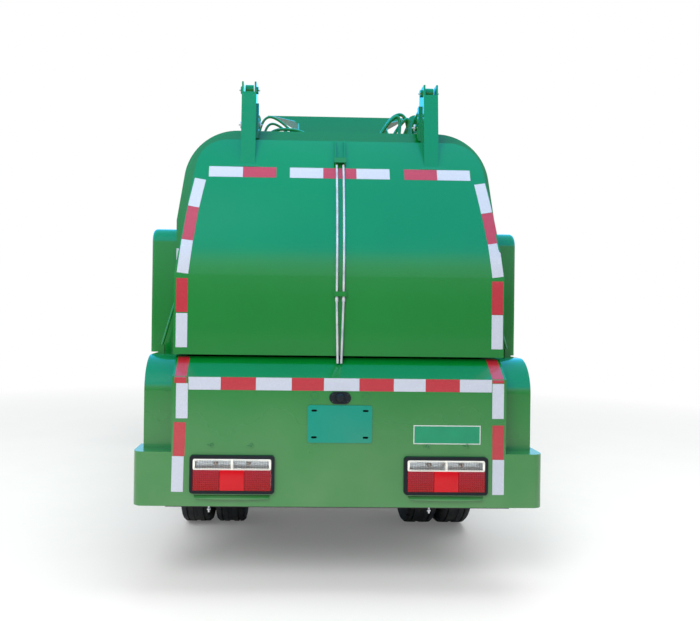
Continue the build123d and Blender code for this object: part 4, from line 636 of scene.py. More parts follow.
# %% Tail lamps
REARWARD, FORWARD = (-1, 0, 0), (1, 0, 0)
COVER_REAR, COVER_FRONT = -2.4685, -2.4520
BULB_X, TRAY_FRONT = -2.4460, -2.4240
LAMP_Y, LAMP_Z = 0.456, 0.517
LAMP_HALF, LAMP_HIGH = 0.1655, 0.0665
LAMP_FOOT, LAMP_HEAD = LAMP_Z - LAMP_HIGH, LAMP_Z + LAMP_HIGH
CLEAR_LOW = LAMP_HEAD - 0.045
BULB_Z = CLEAR_LOW + 0.024
BULB_OUT, WINDOW_OUT, WINDOW_HALF = 0.070, 0.078, (LAMP_HALF - 0.016) / 2
RED_FIELD = 0.113
SEAM = 0.0006
FIELD_EDGES = (-LAMP_HALF, -LAMP_HALF + RED_FIELD, LAMP_HALF - RED_FIELD, LAMP_HALF)
for side_name, side in SIDES:
    middle = side * LAMP_Y
    body = tray(f"lamp_tray_{side_name}", (COVER_FRONT, middle - LAMP_HALF, LAMP_FOOT),
                (TRAY_FRONT, middle + LAMP_HALF, LAMP_HEAD), REARWARD, 0.004, 0.022)
    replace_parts(finished(body, reflector, "chassis"), "lamp_lenses")
    divider = box_piece(f"lamp_divider_{side_name}", (-2.4670, middle - 0.007, CLEAR_LOW),
                        (-2.4320, middle + 0.007, LAMP_HEAD))
    finished(rounded(divider, 0.001), lamp_white, "chassis")
    rim_low = CLEAR_LOW - 0.002
    rim_corners = [(-2.464, middle + y, z) for y, z in ((-LAMP_HALF, rim_low), (LAMP_HALF, rim_low),
                                                        (LAMP_HALF, LAMP_HEAD), (-LAMP_HALF, LAMP_HEAD))]
    rim = ring_piece(f"lamp_rim_{side_name}", rim_corners, 0.009, 0.005, 0.008)
    finished(rim, lamp_white, "chassis")
    for count, way in enumerate((-1, 1)):
        bulb_y, window_y = middle + way * BULB_OUT, middle + way * WINDOW_OUT
        bpy.ops.mesh.primitive_uv_sphere_add(segments=20, ring_count=12, radius=0.0105,
                                             location=(BULB_X, bulb_y, BULB_Z))
        bpy.context.object.scale = (1.35, 1.0, 1.0)
        bulb = settled(f"lamp_bulb_{side_name}_{count}")
        socket = rod_piece("socket", (-2.4360, bulb_y, BULB_Z), (TRAY_FRONT, bulb_y, BULB_Z), 0.010)
        finished(joined(bulb.name, [bulb, rounded(socket, 0.001)]), bulb_glass, "chassis")
        window = tray(f"lamp_clear_{side_name}_{count}",
                      (COVER_REAR, window_y - WINDOW_HALF, CLEAR_LOW + 0.003),
                      (-2.4560, window_y + WINDOW_HALF, LAMP_HEAD - 0.004), FORWARD, 0.002, 0.010)
        finished(rounded(window, 0.0012), clear_lens, "chassis")
    for count, (low, high) in enumerate(zip(FIELD_EDGES, FIELD_EDGES[1:])):
        field = tray(f"lamp_red_{side_name}_{count}", (COVER_REAR, middle + low + SEAM, LAMP_FOOT),
                     (COVER_FRONT, middle + high - SEAM, CLEAR_LOW - 0.001), FORWARD, 0.002, 0.012)
        finished(rounded(field, 0.002, 3), plain_red if count == 1 else red_lens, "chassis")
print("lamp covers", 2 * (2 + len(FIELD_EDGES) - 1))

# %% [markdown]
# A pressed lip stands out under each lamp, like a shallow eyebrow upside down, to stiffen the
# cut-out. It is half a flattened drum: a cylinder scaled thin, its face drawn in and
# down, so that the upper side slopes out of the panel and shows a darker, cleaner green.

# %% Pressed lips under the lamps
LIP_Z, LIP_CUT_Z = 0.436, 0.435
LIP_WIDE, LIP_HIGH = 0.335, 0.050
for side_name, side in SIDES:
    middle = side * LAMP_Y
    bpy.ops.mesh.primitive_cylinder_add(vertices=48, radius=0.5, depth=0.030,
                                        location=(-2.4520, middle, LIP_Z), rotation=(0, math.radians(90), 0))
    lip = settled(f"lamp_lip_{side_name}")
    flatten = Matrix.Diagonal((1, LIP_WIDE, LIP_HIGH, 1))
    lip.data.transform(shift(y=middle, z=LIP_Z) @ flatten @ shift(y=-middle, z=-LIP_Z))
    edit_all(lip)
    bpy.ops.mesh.bisect(plane_co=(APRON_REAR, middle, LIP_CUT_Z), plane_no=(0, 0, 1), use_fill=True,
                        clear_outer=True)
    bpy.ops.object.mode_set(mode="OBJECT")
    faces_towards(lip, REARWARD)
    bpy.ops.transform.resize(value=(1.0, 0.94, 0.30), center_override=(-2.467, middle, 0.412))
    bpy.ops.object.mode_set(mode="OBJECT")
    finished(rounded(lip, 0.003, 3), paint, "chassis")

# %% [markdown]
# Two shallow rings are pressed into the apron beside the camera, and four small wire clips
# sit in a row above the lamps. A ring is a disc whose middle is inset and pushed back in.

# %% Pressed rings and wire clips
RING_Z = 0.851
# Each row: a clip's Y and Z.
CLIP_SPOTS = ((0.545, 0.640), (0.375, 0.639), (-0.379, 0.641), (-0.547, 0.645))
for side_name, side in SIDES:
    ring_y = side * 0.111
    ring = rod_piece(f"pressed_ring_{side_name}", (-2.4485, ring_y, RING_Z), (-2.4525, ring_y, RING_Z),
                     0.017, 40)
    sunk(ring, REARWARD, [(0.0045, 0.0)], (0.0035, 0, 0))
    finished(rounded(ring, 0.0008), paint, "chassis")
for count, (y, z) in enumerate(CLIP_SPOTS):
    clip = rod_piece(f"wire_clip_{count}", (-2.4495, y, z), (-2.4575, y, z), 0.0085, 6)
    sunk(clip, REARWARD, [(0.003, 0.0)], (0.004, 0, 0))
    tail = box_piece("tail", (-2.4535, y + 0.006, z - 0.002), (-2.4497, y + 0.020, z + 0.001))
    finished(joined(clip.name, [rounded(clip, 0.0006), rounded(tail, 0.0005)]), paint, "chassis")

# %% [markdown]
# The rear-view camera is a black oval plate with a small dome, and a glass eye in the dome.
# The eye is a glass disc whose face is inset and pushed in, and four screws hold the plate.

# %% Rear camera eye
CAMERA_EYE_Z = 0.846
lens_glass, tree, shader, place = new_material("coated_camera_glass")
two_tone(tree, noise(tree, place, 0.01), "0B0D16", "1B1433")
shader.inputs["Roughness"].default_value = 0.04
shader.inputs["Coat Weight"].default_value = 1.0
eye = rod_piece("camera_eye", (-2.4695, 0, CAMERA_EYE_Z), (-2.4718, 0, CAMERA_EYE_Z), 0.0125, 40)
sunk(eye, REARWARD, [(0.003, 0.0)], (0.0012, 0, 0))
finished(rounded(eye, 0.0005), lens_glass, "chassis")
screw_spots = [(y, CAMERA_EYE_Z + z) for z in (0.015, -0.015) for y in (-0.033, 0.033)]
for count, (y, z) in enumerate(screw_spots):
    screw = rod_piece(f"camera_screw_{count}", (-2.4555, y, z), (-2.4580, y, z), 0.0032, 16)
    finished(rounded(screw, 0.0008), chassis_black, "chassis")

# %% [markdown]
# The tyres get their real section: bulged walls, a rounded shoulder, four tread ribs and
# shoulder lugs. A circle's points are moved onto the section, the section is spun round the
# axle, and on every third step the shoulder faces are pushed in to leave the lugs.

# %% Tyres with tread
TYRE_SPIN = 84
AXLE_Z = 0.335
HALF_SECTION = [
    (0.0, 0.331), (0.012, 0.331), (0.0145, 0.335), (0.040, 0.335), (0.0425, 0.327), (0.047, 0.327),
    (0.0495, 0.335), (0.066, 0.3335), (0.079, 0.322), (0.0845, 0.298), (0.085, 0.268), (0.082, 0.240),
    (0.074, 0.2145), (0.062, 0.2140), (0.060, 0.232), (0.070, 0.262), (0.066, 0.296), (0.0, 0.316),
]
SECTION = HALF_SECTION + [(-y, r) for y, r in reversed(HALF_SECTION[1:-1])]
# Each row: the corner's name, its axle's X, and the Y of each tyre on it.
WHEEL_SPOTS = (
    ("front_left", 1.510, (0.700,)), ("front_right", 1.510, (-0.700,)),
    ("rear_left", -1.290, (0.720, 0.530)), ("rear_right", -1.290, (-0.720, -0.530)),
)


def tyre_piece(name):
    """One tyre round the Y axis, centred on the origin."""
    bpy.ops.mesh.primitive_circle_add(vertices=len(SECTION), radius=0.1)
    tyre = settled(name)
    for vertex, (y, r) in zip(tyre.data.vertices, SECTION):
        vertex.co = (0.0, y, r)
    edit_all(tyre)
    bpy.ops.mesh.spin(steps=TYRE_SPIN, angle=math.radians(360), center=(0, 0, 0), axis=(0, 1, 0))
    bpy.ops.mesh.select_all(action="SELECT")
    bpy.ops.mesh.remove_doubles(threshold=0.0002)
    bpy.ops.mesh.normals_make_consistent(inside=False)
    bpy.ops.mesh.select_all(action="DESELECT")
    bpy.ops.object.mode_set(mode="OBJECT")
    step = 2 * math.pi / TYRE_SPIN
    for face in tyre.data.polygons:
        x, y, z = face.center
        angle = math.atan2(x, z) % (2 * math.pi)
        shoulder = 0.066 < abs(y) < 0.082 and math.hypot(x, z) > 0.315
        face.select = shoulder and int(angle / step + 0.001) % 3 == 0
    bpy.ops.object.mode_set(mode="EDIT")
    bpy.ops.mesh.select_mode(type="FACE")
    bpy.ops.mesh.inset(thickness=0.0016, depth=-0.005, use_individual=False)
    bpy.ops.object.mode_set(mode="OBJECT")
    return tyre


pattern = tyre_piece("tyre_pattern")
for corner, axle_x, centres in WHEEL_SPOTS:
    for count, centre in enumerate(centres):
        tyre = twin_of(pattern, f"tyre_{corner}_{count}", shift(axle_x, centre, AXLE_Z))
        finished(tyre, tyre_rubber, f"wheel_{corner}", 50)
        if count == 0:
            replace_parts(tyre, f"tyre_{corner}")
bpy.data.objects.remove(pattern)
print("tyre faces", len(tyre.data.polygons), "section points", len(SECTION))

# %% [markdown]
# Each wheel is held by six nuts on studs, with round collars that seat in the disc.
# A nut is a six-sided bar with rounded edges, made once with its stud and collar and copied.

# %% Wheel nuts
NUT_CIRCLE, NUTS = 0.102, 6
nut = rounded(rod_piece("nut_pattern", (0, 0.0, 0), (0, 0.016, 0), 0.0135, 6), 0.0012)
stud = rounded(rod_piece("stud", (0, 0.014, 0), (0, 0.027, 0), 0.0062, 14), 0.001)
collar = rounded(rod_piece("collar", (0, -0.001, 0), (0, 0.004, 0), 0.0175, 20), 0.001)
nut = joined("nut_pattern", [nut, stud, collar])
finished(nut, bare_pipe, "chassis")
for corner, axle_x, centres in WHEEL_SPOTS:
    side = 1 if centres[0] > 0 else -1
    face_y = abs(centres[0]) + (0.035 if len(centres) == 1 else -0.045)
    flip = Matrix.Identity(4) if side > 0 else Matrix.Rotation(math.pi, 4, "X")
    nuts = []
    for count in range(NUTS):
        turn = 2 * math.pi * (count + 0.5) / NUTS
        x, z = axle_x + NUT_CIRCLE * math.cos(turn), AXLE_Z + NUT_CIRCLE * math.sin(turn)
        nuts.append(twin_of(nut, "nut", shift(x, side * face_y, z) @ flip))
    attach(joined(f"wheel_nuts_{corner}", nuts), f"wheel_{corner}")
bpy.data.objects.remove(nut)

# %% [markdown]
# Painted hoses loop over the tank's roof just in front of the ring: three thin ones on the
# left and a thicker bundle on the right. Both ends of each are screwed into fittings on the
# roof, so each is a smooth path through five points with a round section.

# %% Roof hoses and their fittings
HOSES = (
    ("loop_1", 0.0060, (-1.95, 0.385, 2.050), (-1.94, 0.372, 2.185), (-1.93, 0.300, 2.195),
     (-1.94, 0.215, 2.105), (-1.96, 0.165, 2.050)),
    ("loop_2", 0.0060, (-1.92, 0.362, 2.050), (-1.91, 0.352, 2.160), (-1.90, 0.290, 2.165),
     (-1.91, 0.225, 2.095), (-1.93, 0.185, 2.050)),
    ("loop_3", 0.0075, (-1.97, 0.345, 2.050), (-1.97, 0.330, 2.105), (-1.98, 0.250, 2.115),
     (-1.98, 0.150, 2.100), (-1.98, 0.100, 2.050)),
    ("bundle_1", 0.0085, (-1.88, -0.215, 2.050), (-1.88, -0.245, 2.150), (-1.87, -0.310, 2.250),
     (-1.87, -0.378, 2.215), (-1.87, -0.380, 2.050)),
    ("bundle_2", 0.0085, (-1.91, -0.265, 2.050), (-1.90, -0.295, 2.110), (-1.90, -0.350, 2.205),
     (-1.90, -0.385, 2.200), (-1.90, -0.372, 2.050)),
    ("bundle_3", 0.0085, (-1.94, -0.200, 2.050), (-1.94, -0.230, 2.120), (-1.94, -0.300, 2.215),
     (-1.94, -0.330, 2.190), (-1.94, -0.310, 2.050)),
)


def hose_piece(name, radius, points):
    """A round hose along a smooth path that starts and ends at the first and last points."""
    bpy.ops.curve.primitive_nurbs_path_add(radius=1.0, location=(0, 0, 0))
    hose = bpy.context.object
    hose.name = name
    spline = hose.data.splines[0]
    for point, place in zip(spline.points, points):
        point.co = (*place, 1.0)
    spline.order_u = 4
    spline.use_endpoint_u = True
    spline.resolution_u = 12
    hose.data.dimensions = "3D"
    line = hose.to_mesh()
    ends = [[line.vertices[end].co for end in edge.vertices] for edge in line.edges]
    length = sum((start - end).length for start, end in ends)
    hose.to_mesh_clear()
    hose.data.bevel_depth = radius
    hose.data.bevel_resolution = 4
    hose.data.use_fill_caps = True
    return hose, length


for name, radius, *points in HOSES:
    hose, length = hose_piece(f"hose_{name}", radius, points)
    hose.data.materials.append(paint)
    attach(hose, "chassis")
    for end, (x, y, z) in (("start", points[0]), ("end", points[-1])):
        union = rod_piece(f"fitting_{name}_{end}", (x, y, z - 0.012), (x, y, z + 0.022), radius + 0.004, 6)
        finished(rounded(union, 0.001), paint, "chassis")
    print("hose", name, "length", round(length, 3))

# %% [markdown]
# The door's arms turn on pins, each a flat head with a grease nipple on both outer faces, and
# the cylinders' feet are held by six-sided nuts. Six bolts close the end of the lifter's
# drive, and two bolts hang below the bumper's lower edge.

# %% Pins and bolts
CYLINDER_Y = 0.417
# Each row: the pin's name, its place in side view, its body, its head's radius and how far
# its lugs stand out.
ARM_PINS = (
    ("hinge", (-2.060, 2.106), "chassis", 0.017, 0.042),
    ("eye", (-2.170, 2.238), "tail_door", 0.0155, 0.033),
)
for side_name, side in SIDES:
    for face, out in (("outer", 1), ("inner", -1)):
        way = side * out
        for spot, (x, z), body, radius, reach in ARM_PINS:
            y = side * CYLINDER_Y + way * reach
            name = f"pin_{spot}_{side_name}_{face}"
            head = rod_piece(name, (x, y, z), (x, y + way * 0.007, z), radius, 28)
            nipple = rod_piece("nipple", (x, y + way * 0.005, z), (x, y + way * 0.015, z), 0.004, 12)
            finished(joined(name, [rounded(head, 0.002), rounded(nipple, 0.001)]), bare_pipe, body)
        y = side * CYLINDER_Y + way * 0.037
        nut = rod_piece(f"anchor_nut_{side_name}_{face}", (-1.420, y - way * 0.004, 2.150),
                        (-1.420, y + way * 0.009, 2.150), 0.017, 6)
        finished(rounded(nut, 0.0015), bare_pipe, "chassis")
DRIVE_END, DRIVE_Y, DRIVE_Z = -0.792, -0.690, 2.080
DRIVE_BOLT_CIRCLE, DRIVE_BOLTS = 0.041, 6
drive_bolts = []
for count in range(DRIVE_BOLTS):
    turn = 2 * math.pi * count / DRIVE_BOLTS
    y, z = DRIVE_Y + DRIVE_BOLT_CIRCLE * math.cos(turn), DRIVE_Z + DRIVE_BOLT_CIRCLE * math.sin(turn)
    bolt = rod_piece("bolt", (DRIVE_END - 0.001, y, z), (DRIVE_END + 0.006, y, z), 0.0065, 6)
    drive_bolts.append(rounded(bolt, 0.0007))
finished(joined("drive_bolts", drive_bolts), bare_pipe, "chassis")
for count, hang_y in enumerate((0.557, -0.393)):
    bolt = rod_piece(f"hanging_bolt_{count}", (-2.415, hang_y, 0.384), (-2.415, hang_y, 0.346), 0.004, 14)
    head = rod_piece("head", (-2.415, hang_y, 0.362), (-2.415, hang_y, 0.355), 0.008, 6)
    finished(joined(bolt.name, [rounded(bolt, 0.0008), rounded(head, 0.0008)]), bare_pipe, "chassis")

# %% [markdown]
# The cab's windows sit in black rubber channel. Each channel is a flat outline of the opening
# with a wider outline round it: the outline is one face, inset by the rubber's width, its
# middle taken out, and the ring that is left given a thickness.

# %% Window rubbers
rubber, tree, shader, place = new_material("extruded_black_window_rubber")
chalk = ramp_of(tree, noise(tree, place, 0.08), 0.5, 0.8, 0.0, 0.5)
two_tone(tree, chalk, "101112", "2A2B2B")
shader.inputs["Roughness"].default_value = 0.7

SCREEN_FOOT, SCREEN_HEAD = Vector((2.3875, 0, 1.3165)), Vector((2.1675, 0, 1.9589))
SCREEN_OUT = Vector((0.946, 0, 0.324))
SCREEN_UP = (SCREEN_HEAD - SCREEN_FOOT).normalized()
SCREEN_HALF, RUBBER_LAP, RUBBER_LIFT = 0.708, 0.018, 0.002
low = SCREEN_FOOT - SCREEN_UP * RUBBER_LAP + SCREEN_OUT * RUBBER_LIFT
high = SCREEN_HEAD + SCREEN_UP * RUBBER_LAP + SCREEN_OUT * RUBBER_LIFT
screen_corners = [(spot.x, way * SCREEN_HALF, spot.z)
                  for spot, way in ((low, 1), (low, -1), (high, -1), (high, 1))]
finished(ring_piece("screen_rubber", screen_corners, 0.030, 0.008, 0.03), rubber, "chassis")
DOOR_WINDOW = [(1.177, 1.315), (1.177, 1.938), (2.051, 1.938), (2.136, 1.315)]
for side_name, side in SIDES:
    corners = [(x, side * 0.831, z) for x, z in DOOR_WINDOW]
    window = ring_piece(f"door_window_rubber_{side_name}", corners, 0.024, 0.005, 0.03)
    finished(window, rubber, f"cab_door_{side_name}")

# %% [markdown]
# Door handles are pull grips in a dished black plate, and the mirrors' glass faces back.
# The plate is a box with one face inset and sunk, and the grip is a bar across it that is
# hollowed behind for the fingers. A lock barrel sits below.

# %% Door handles and mirror glass
mirror_glass, tree, shader, place = new_material("silvered_mirror_glass")
smear = noise(tree, place, 0.08)
tree.links.new(ramp_of(tree, smear, 0.3, 0.8, 0.02, 0.08), shader.inputs["Roughness"])
two_tone(tree, smear, "DCE3E8", "CFD8DE")
shader.inputs["Metallic"].default_value = 1.0
DOOR_FACE = 0.8295
for side_name, side in SIDES:
    body, outward = f"cab_door_{side_name}", (0, side, 0)
    plate = tray(f"handle_plate_{side_name}", (1.215, side * DOOR_FACE, 1.185),
                 (1.365, side * 0.8370, 1.245), outward, 0.007, 0.006)
    finished(rounded(plate, 0.0015), black_plastic, body)
    grip = box_piece(f"handle_grip_{side_name}", (1.225, side * 0.834, 1.206), (1.355, side * 0.850, 1.226))
    sunk(grip, (0, -side, 0), [(0.005, 0.0)], (0, side * 0.009, 0))
    finished(rounded(grip, 0.0018, 3), black_plastic, body)
    lock = rod_piece(f"door_lock_{side_name}", (1.290, side * DOOR_FACE, 1.150),
                     (1.290, side * 0.8330, 1.150), 0.012)
    sunk(lock, outward, [(0.004, -0.0015)])
    finished(rounded(lock, 0.0006), bare_pipe, body)
    glass = box_piece(f"mirror_glass_{side_name}", (2.0840, side * 0.898, 1.484),
                      (2.0852, side * 0.988, 1.776))
    sunk(glass, REARWARD, [(0.004, -0.0004)])
    finished(rounded(glass, 0.0003, 1), mirror_glass, body)

# %% [markdown]
# Two wipers rest at the foot of the windscreen. Each has a spindle cap, a thin arm and a
# blade with a rubber lip, made along the glass and set a little off it.

# %% Wipers


def on_screen(y, run, out):
    """A point on the windscreen: across, up along the glass from its foot, and off it."""
    return Vector((0, y, 0)) + SCREEN_FOOT + SCREEN_UP * run + SCREEN_OUT * out


for count, (root_y, tip_y) in enumerate(((0.42, -0.02), (-0.12, -0.56))):
    hold_y, heel_y = tip_y + 0.16, root_y + 0.02
    # Each row: the part's name, its start and end on the glass, its radius and its sides.
    wiper_parts = (
        (f"wiper_{count}", (root_y, -0.028, 0.002), (root_y, -0.028, 0.024), 0.013, 24),
        ("arm", (root_y, -0.028, 0.018), (hold_y, 0.070, 0.018), 0.005, 12),
        ("blade", (heel_y, 0.055, 0.010), (tip_y, 0.090, 0.010), 0.006, 6),
        ("lip", (heel_y, 0.055, 0.004), (tip_y, 0.090, 0.004), 0.003, 4),
        ("link", (hold_y, 0.070, 0.020), (hold_y, 0.078, 0.008), 0.007, 12),
    )
    parts = [rounded(rod_piece(name, on_screen(*start), on_screen(*end), radius, sides), 0.001)
             for name, start, end, radius, sides in wiper_parts]
    finished(joined(f"wiper_{count}", parts), black_plastic, "chassis")

# %% [markdown]
# Behind each clear headlamp cover are two plated bowls on a black shell, and the shells and
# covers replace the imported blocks. A bowl is a disc inset and drawn in twice, like a deep
# plate.

# %% Headlamps
HEADLAMP_Y, HEADLAMP_Z = 0.560, 0.790
for side_name, side in SIDES:
    middle = side * HEADLAMP_Y
    shell = box_piece(f"headlamp_shell_{side_name}", (2.4405, middle - 0.0985, HEADLAMP_Z - 0.0635),
                      (2.4440, middle + 0.0985, HEADLAMP_Z + 0.0635))
    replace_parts(finished(rounded(shell, 0.001), black_plastic, "chassis"), "headlamps")
    for count, (across, reach) in enumerate(((-0.045, 0.044), (0.052, 0.034))):
        bowl = rod_piece(f"headlamp_bowl_{side_name}_{count}", (2.4435, middle + across, HEADLAMP_Z),
                         (2.4575, middle + across, HEADLAMP_Z), reach, 40)
        sunk(bowl, FORWARD, [(0.003, 0.0), (0.014, -0.006), (0.008, -0.004)])
        finished(rounded(bowl, 0.0008), reflector, "chassis", 60)
    cover = tray(f"headlamp_cover_{side_name}", (2.4440, middle - 0.100, HEADLAMP_Z - 0.065),
                 (2.4618, middle + 0.100, HEADLAMP_Z + 0.065), REARWARD, 0.003, 0.0145)
    finished(rounded(cover, 0.0035, 3), clear_lens, "chassis")

# %% [markdown]
# The side lockers are closed by doors on two hinges, with a bar handle in a round cup.
# Each door is a plate a few millimetres proud of the locker, with a pressed field let into
# it for stiffness, and the cup is a disc inset and sunk.

# %% Locker doors
LOCKER_FACE, HANDLE_Z = 0.8915, 1.110
for side_name, side, rear_x, front_x in (("left", 1, -2.000, -1.330), ("right", -1, -2.000, -1.500)):
    outward = (0, side, 0)
    door = box_piece(f"locker_door_{side_name}", (rear_x + 0.040, side * LOCKER_FACE, 1.060),
                     (front_x - 0.040, side * 0.8950, 1.540))
    sunk(door, outward, [(0.050, 0.0), (0.008, -0.0028)])
    finished(rounded(door, 0.001), paint, "chassis")
    y_out = side * 0.8985
    for count, x in enumerate((rear_x + 0.130, front_x - 0.130)):
        leaf = box_piece(f"locker_hinge_{side_name}_{count}", (x - 0.018, side * LOCKER_FACE, 1.490),
                         (x + 0.018, side * 0.8972, 1.572))
        knuckle = rod_piece("knuckle", (x - 0.026, y_out, 1.548), (x + 0.026, y_out, 1.548), 0.0062, 20)
        finished(joined(leaf.name, [rounded(leaf, 0.001), rounded(knuckle, 0.0008)]), paint, "chassis")
    x = (rear_x + front_x) / 2
    cup = rod_piece(f"locker_handle_{side_name}", (x, side * 0.8940, HANDLE_Z), (x, y_out, HANDLE_Z),
                    0.034, 40)
    sunk(cup, outward, [(0.005, 0.0), (0.004, -0.0038)])
    bar = rod_piece("bar", (x - 0.024, y_out, HANDLE_Z), (x + 0.024, y_out, HANDLE_Z), 0.0045, 16)
    finished(joined(cup.name, [rounded(cup, 0.0008), rounded(bar, 0.001)]), bare_pipe, "chassis")

# %% [markdown]
# A narrow strip of the same white film is stuck on the ring beside the door's left edge.

# %% Small tape strip on the ring
strip = box_piece("tape_ring_left", (-2.0906, 0.7465, 1.452), (-2.0900, 0.7590, 1.506))
finished(rounded(strip, 0.0002, 1), white_tape, "chassis")

# %% [markdown]
# The cab's seats are foam in woven cloth: one for the driver and a wider one for two. Each
# cushion starts as a plain box a little small, gets an even mesh, and is blown up as cloth so
# that it crowns and its sides pull in. How far a point may move is capped, and two stitched
# channels are pressed into each face after the cloth is applied.

# %% Seat cushions
VOXEL = 0.012
PRESSURE, LAST_FRAME = 4.0, 20
SWELL_CAP = 0.014
CHANNEL_DEPTH, CHANNEL_WIDTH, CHANNEL_SHARE = 0.006, 0.009, 0.17


def cushion(name, centre, size, lean, face):
    """A padded cushion with two channels along Y on the side that it is sat or leant on."""
    low, high = ([middle + end * extent / 2 for middle, extent in zip(centre, size)] for end in (-1, 1))
    pad = rounded(box_piece(name, low, high), 0.022, 3)
    pivot = shift(*centre)
    turned = pivot @ Matrix.Rotation(lean, 4, "Y") @ pivot.inverted()
    pad.data.transform(turned)
    applied(pad, "REMESH", mode="VOXEL", voxel_size=VOXEL)
    before = [vertex.co.copy() for vertex in pad.data.vertices]
    cloth = pad.modifiers.new("cloth", "CLOTH")
    cloth.settings.use_pressure = True
    cloth.settings.uniform_pressure_force = PRESSURE
    cloth.settings.effector_weights.gravity = 0.0
    for count in range(1, LAST_FRAME + 1):
        bpy.context.scene.frame_set(count)
    pick(pad)
    bpy.ops.object.modifier_apply(modifier="cloth")
    bpy.context.scene.frame_set(1)
    for vertex, start in zip(pad.data.vertices, before):
        move = vertex.co - start
        if move.length > SWELL_CAP:
            vertex.co = start + move.normalized() * SWELL_CAP
    applied(pad, "SUBSURF", levels=1, render_levels=1)
    outward = turned.to_3x3() @ Vector(face)
    run = turned.to_3x3() @ (Vector((1, 0, 0)) if face[2] else Vector((0, 0, 1)))
    spread = size[0] if face[2] else size[2]
    for vertex in pad.data.vertices:
        offset = vertex.co - Vector(centre)
        if offset.dot(outward) > 0.02:
            nearest = abs(abs(offset.dot(run)) - spread * CHANNEL_SHARE)
            vertex.co -= outward * CHANNEL_DEPTH * math.exp(-((nearest / CHANNEL_WIDTH) ** 2))
    finished(pad, seat_cloth, "chassis", 60)
    return pad


SQUAB_LEAN, BACK_LEAN = math.radians(-1.5), math.radians(-9.0)
SEAT_ROWS = (("driver", 0.380, 0.440), ("bench", -0.340, 0.680))
for name, seat_y, width in SEAT_ROWS:
    squab = cushion(f"seat_{name}_cushion", (1.436, seat_y, 1.041), (0.480, width, 0.084),
                    SQUAB_LEAN, (0, 0, 1))
    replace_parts(squab, "seats")
    cushion(f"seat_{name}_back", (1.130, seat_y, 1.345), (0.085, width, 0.520), BACK_LEAN, (1, 0, 0))
print("cushion faces", len(squab.data.polygons))

# %% [markdown]
# The photograph was taken from a little left of the truck's middle, at about chest height.
# The camera's place and lens were found from edges of known size, and the small tilt of the
# horizon and the off-centre crop come with them.

# %% Camera
CAMERA_PLACE = Vector((-5.5295, 0.2318, 1.1997))
YAW, PITCH, ROLL = -0.0241, 0.0023, 0.0125
forward = Vector((math.cos(YAW) * math.cos(PITCH), math.sin(YAW) * math.cos(PITCH), math.sin(PITCH)))
level_right = forward.cross(Vector((0, 0, 1))).normalized()
level_up = level_right.cross(forward)
right = level_right * math.cos(ROLL) + level_up * math.sin(ROLL)
up = level_up * math.cos(ROLL) - level_right * math.sin(ROLL)
camera_data = bpy.data.cameras.new("photo_camera")
camera_data.sensor_width = 36.0
camera_data.lens = 37.147
camera_data.shift_x = 0.0653
camera_data.shift_y = 0.0033
camera = bpy.data.objects.new("photo_camera", camera_data)
facing = Matrix((right, up, -forward)).transposed().to_4x4()
camera.matrix_world = shift(*CAMERA_PLACE) @ facing
bpy.context.scene.collection.objects.link(camera)
bpy.context.scene.camera = camera

# %% [markdown]
# The floor is one pale plane that runs far past the truck and fades to white with distance,
# for the camera alone. Rays from the camera and through glass see white past its edge. Glossy
# rays see a clear blue sky above the horizon, which the upper door and the ledge mirror, and
# a soft grey below it. All other rays see a plain grey-white room.

# %% Floor
floor_finish, tree, shader, place = new_material("pale_matt_floor")
two_tone(tree, noise(tree, place, 0.5), "F4F4F4", "FAFAFA")
shader.inputs["Roughness"].default_value = 0.95
shader.inputs["Specular IOR Level"].default_value = 0.1
far = add_node(tree, "ShaderNodeVectorMath", {"operation": "LENGTH"}, links={0: place}).outputs["Value"]
white_share = ramp_of(tree, far, 2.2, 7.0, 0.12, 1.0)
rays = add_node(tree, "ShaderNodeLightPath")
own_light = add_node(tree, "ShaderNodeMath", {"operation": "MULTIPLY"},
                     links={0: white_share, 1: rays.outputs["Is Camera Ray"]})
plain_white = add_node(tree, "ShaderNodeEmission")
fade_out = add_node(tree, "ShaderNodeMixShader",
                    links={0: own_light.outputs[0], 1: shader.outputs[0], 2: plain_white.outputs[0]})
tree.links.new(fade_out.outputs[0], tree.nodes["Material Output"].inputs["Surface"])
FLOOR_SIZE = 80.0
bpy.ops.mesh.primitive_plane_add(size=FLOOR_SIZE, location=(0, 0, 0))
floor = bpy.context.object
floor.name = "studio_floor"
floor.data.materials.append(floor_finish)

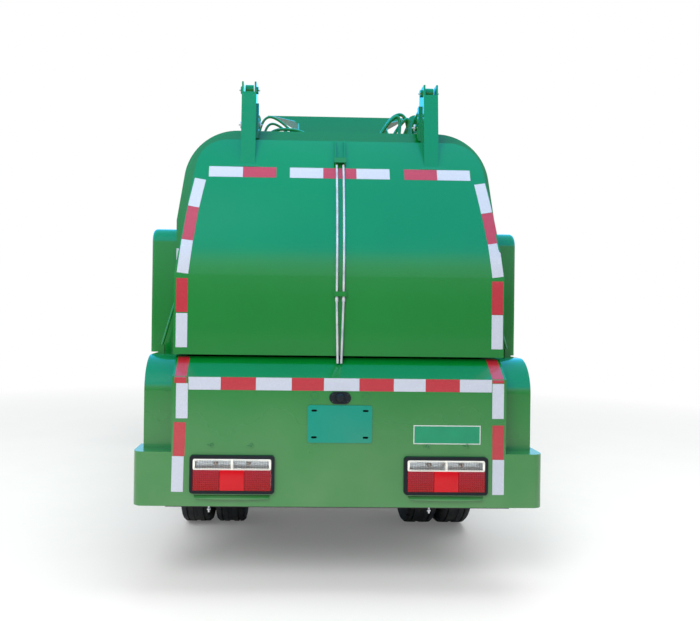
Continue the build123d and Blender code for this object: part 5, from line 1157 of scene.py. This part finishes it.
# %% Sky
SKY_STRENGTH, ROOM_STRENGTH, LOW_GLOSS_STRENGTH, WHITE_STRENGTH = 3.1, 0.62, 0.25, 1.0
world = bpy.data.worlds.new("bright_room")
bpy.context.scene.world = world
world.use_nodes = True
tree = world.node_tree
back = tree.nodes["Background"]
direction = add_node(tree, "ShaderNodeTexCoord").outputs["Generated"]
up_part = add_node(tree, "ShaderNodeSeparateXYZ", links={"Vector": direction}).outputs["Z"]
rays = add_node(tree, "ShaderNodeLightPath")
glossy = rays.outputs["Is Glossy Ray"]
seen = add_node(tree, "ShaderNodeMath", {"operation": "MAXIMUM"},
                links={0: rays.outputs["Is Camera Ray"], 1: rays.outputs["Is Transmission Ray"]})
above = ramp_of(tree, up_part, 0.02, 0.26, 0.0, 1.0)
mirrored = add_node(tree, "ShaderNodeMath", {"operation": "MULTIPLY"}, links={0: glossy, 1: above})
plain = ramp_of(tree, glossy, 0.0, 1.0, ROOM_STRENGTH, LOW_GLOSS_STRENGTH)
glow = add_node(tree, "ShaderNodeMix", {"data_type": "FLOAT"}, {3: SKY_STRENGTH},
                {0: mirrored.outputs[0], 2: plain})
strength = add_node(tree, "ShaderNodeMix", {"data_type": "FLOAT"}, {3: WHITE_STRENGTH},
                    {0: seen.outputs[0], 2: glow.outputs[0]})
tree.links.new(strength.outputs[0], back.inputs["Strength"])
sky = mix_colours(tree, mirrored.outputs[0], linear("F6F5F1"), linear("48B4F0"))
tree.links.new(mix_colours(tree, seen.outputs[0], sky, (1.0, 1.0, 1.0, 1.0)), back.inputs["Color"])

# %% [markdown]
# Two large soft lamps stand in for an open sky: one behind and above the camera, one over
# the roof. Their size keeps every shadow edge soft, as on an overcast day.

# %% Lamps
# Each row: the lamp's name, its place, the point it faces, its width and its watts.
LAMPS = (
    ("sky_behind_camera", (-7.5, 2.5, 5.0), (0.0, 0.0, 1.0), 4.0, 330),
    ("sky_over_roof", (-1.0, -1.0, 6.5), (0.0, 0.0, 0.0), 6.0, 260),
)
for name, spot, target, size, power in LAMPS:
    lamp_data = bpy.data.lights.new(name, "AREA")
    lamp_data.shape = "DISK"
    lamp_data.size = size
    lamp_data.energy = power
    lamp = bpy.data.objects.new(name, lamp_data)
    lamp.location = spot
    lamp.visible_glossy = False
    lamp.rotation_euler = (Vector(target) - Vector(spot)).to_track_quat("-Z", "Y").to_euler()
    bpy.context.scene.collection.objects.link(lamp)
bpy.context.scene.view_settings.view_transform = "Standard"
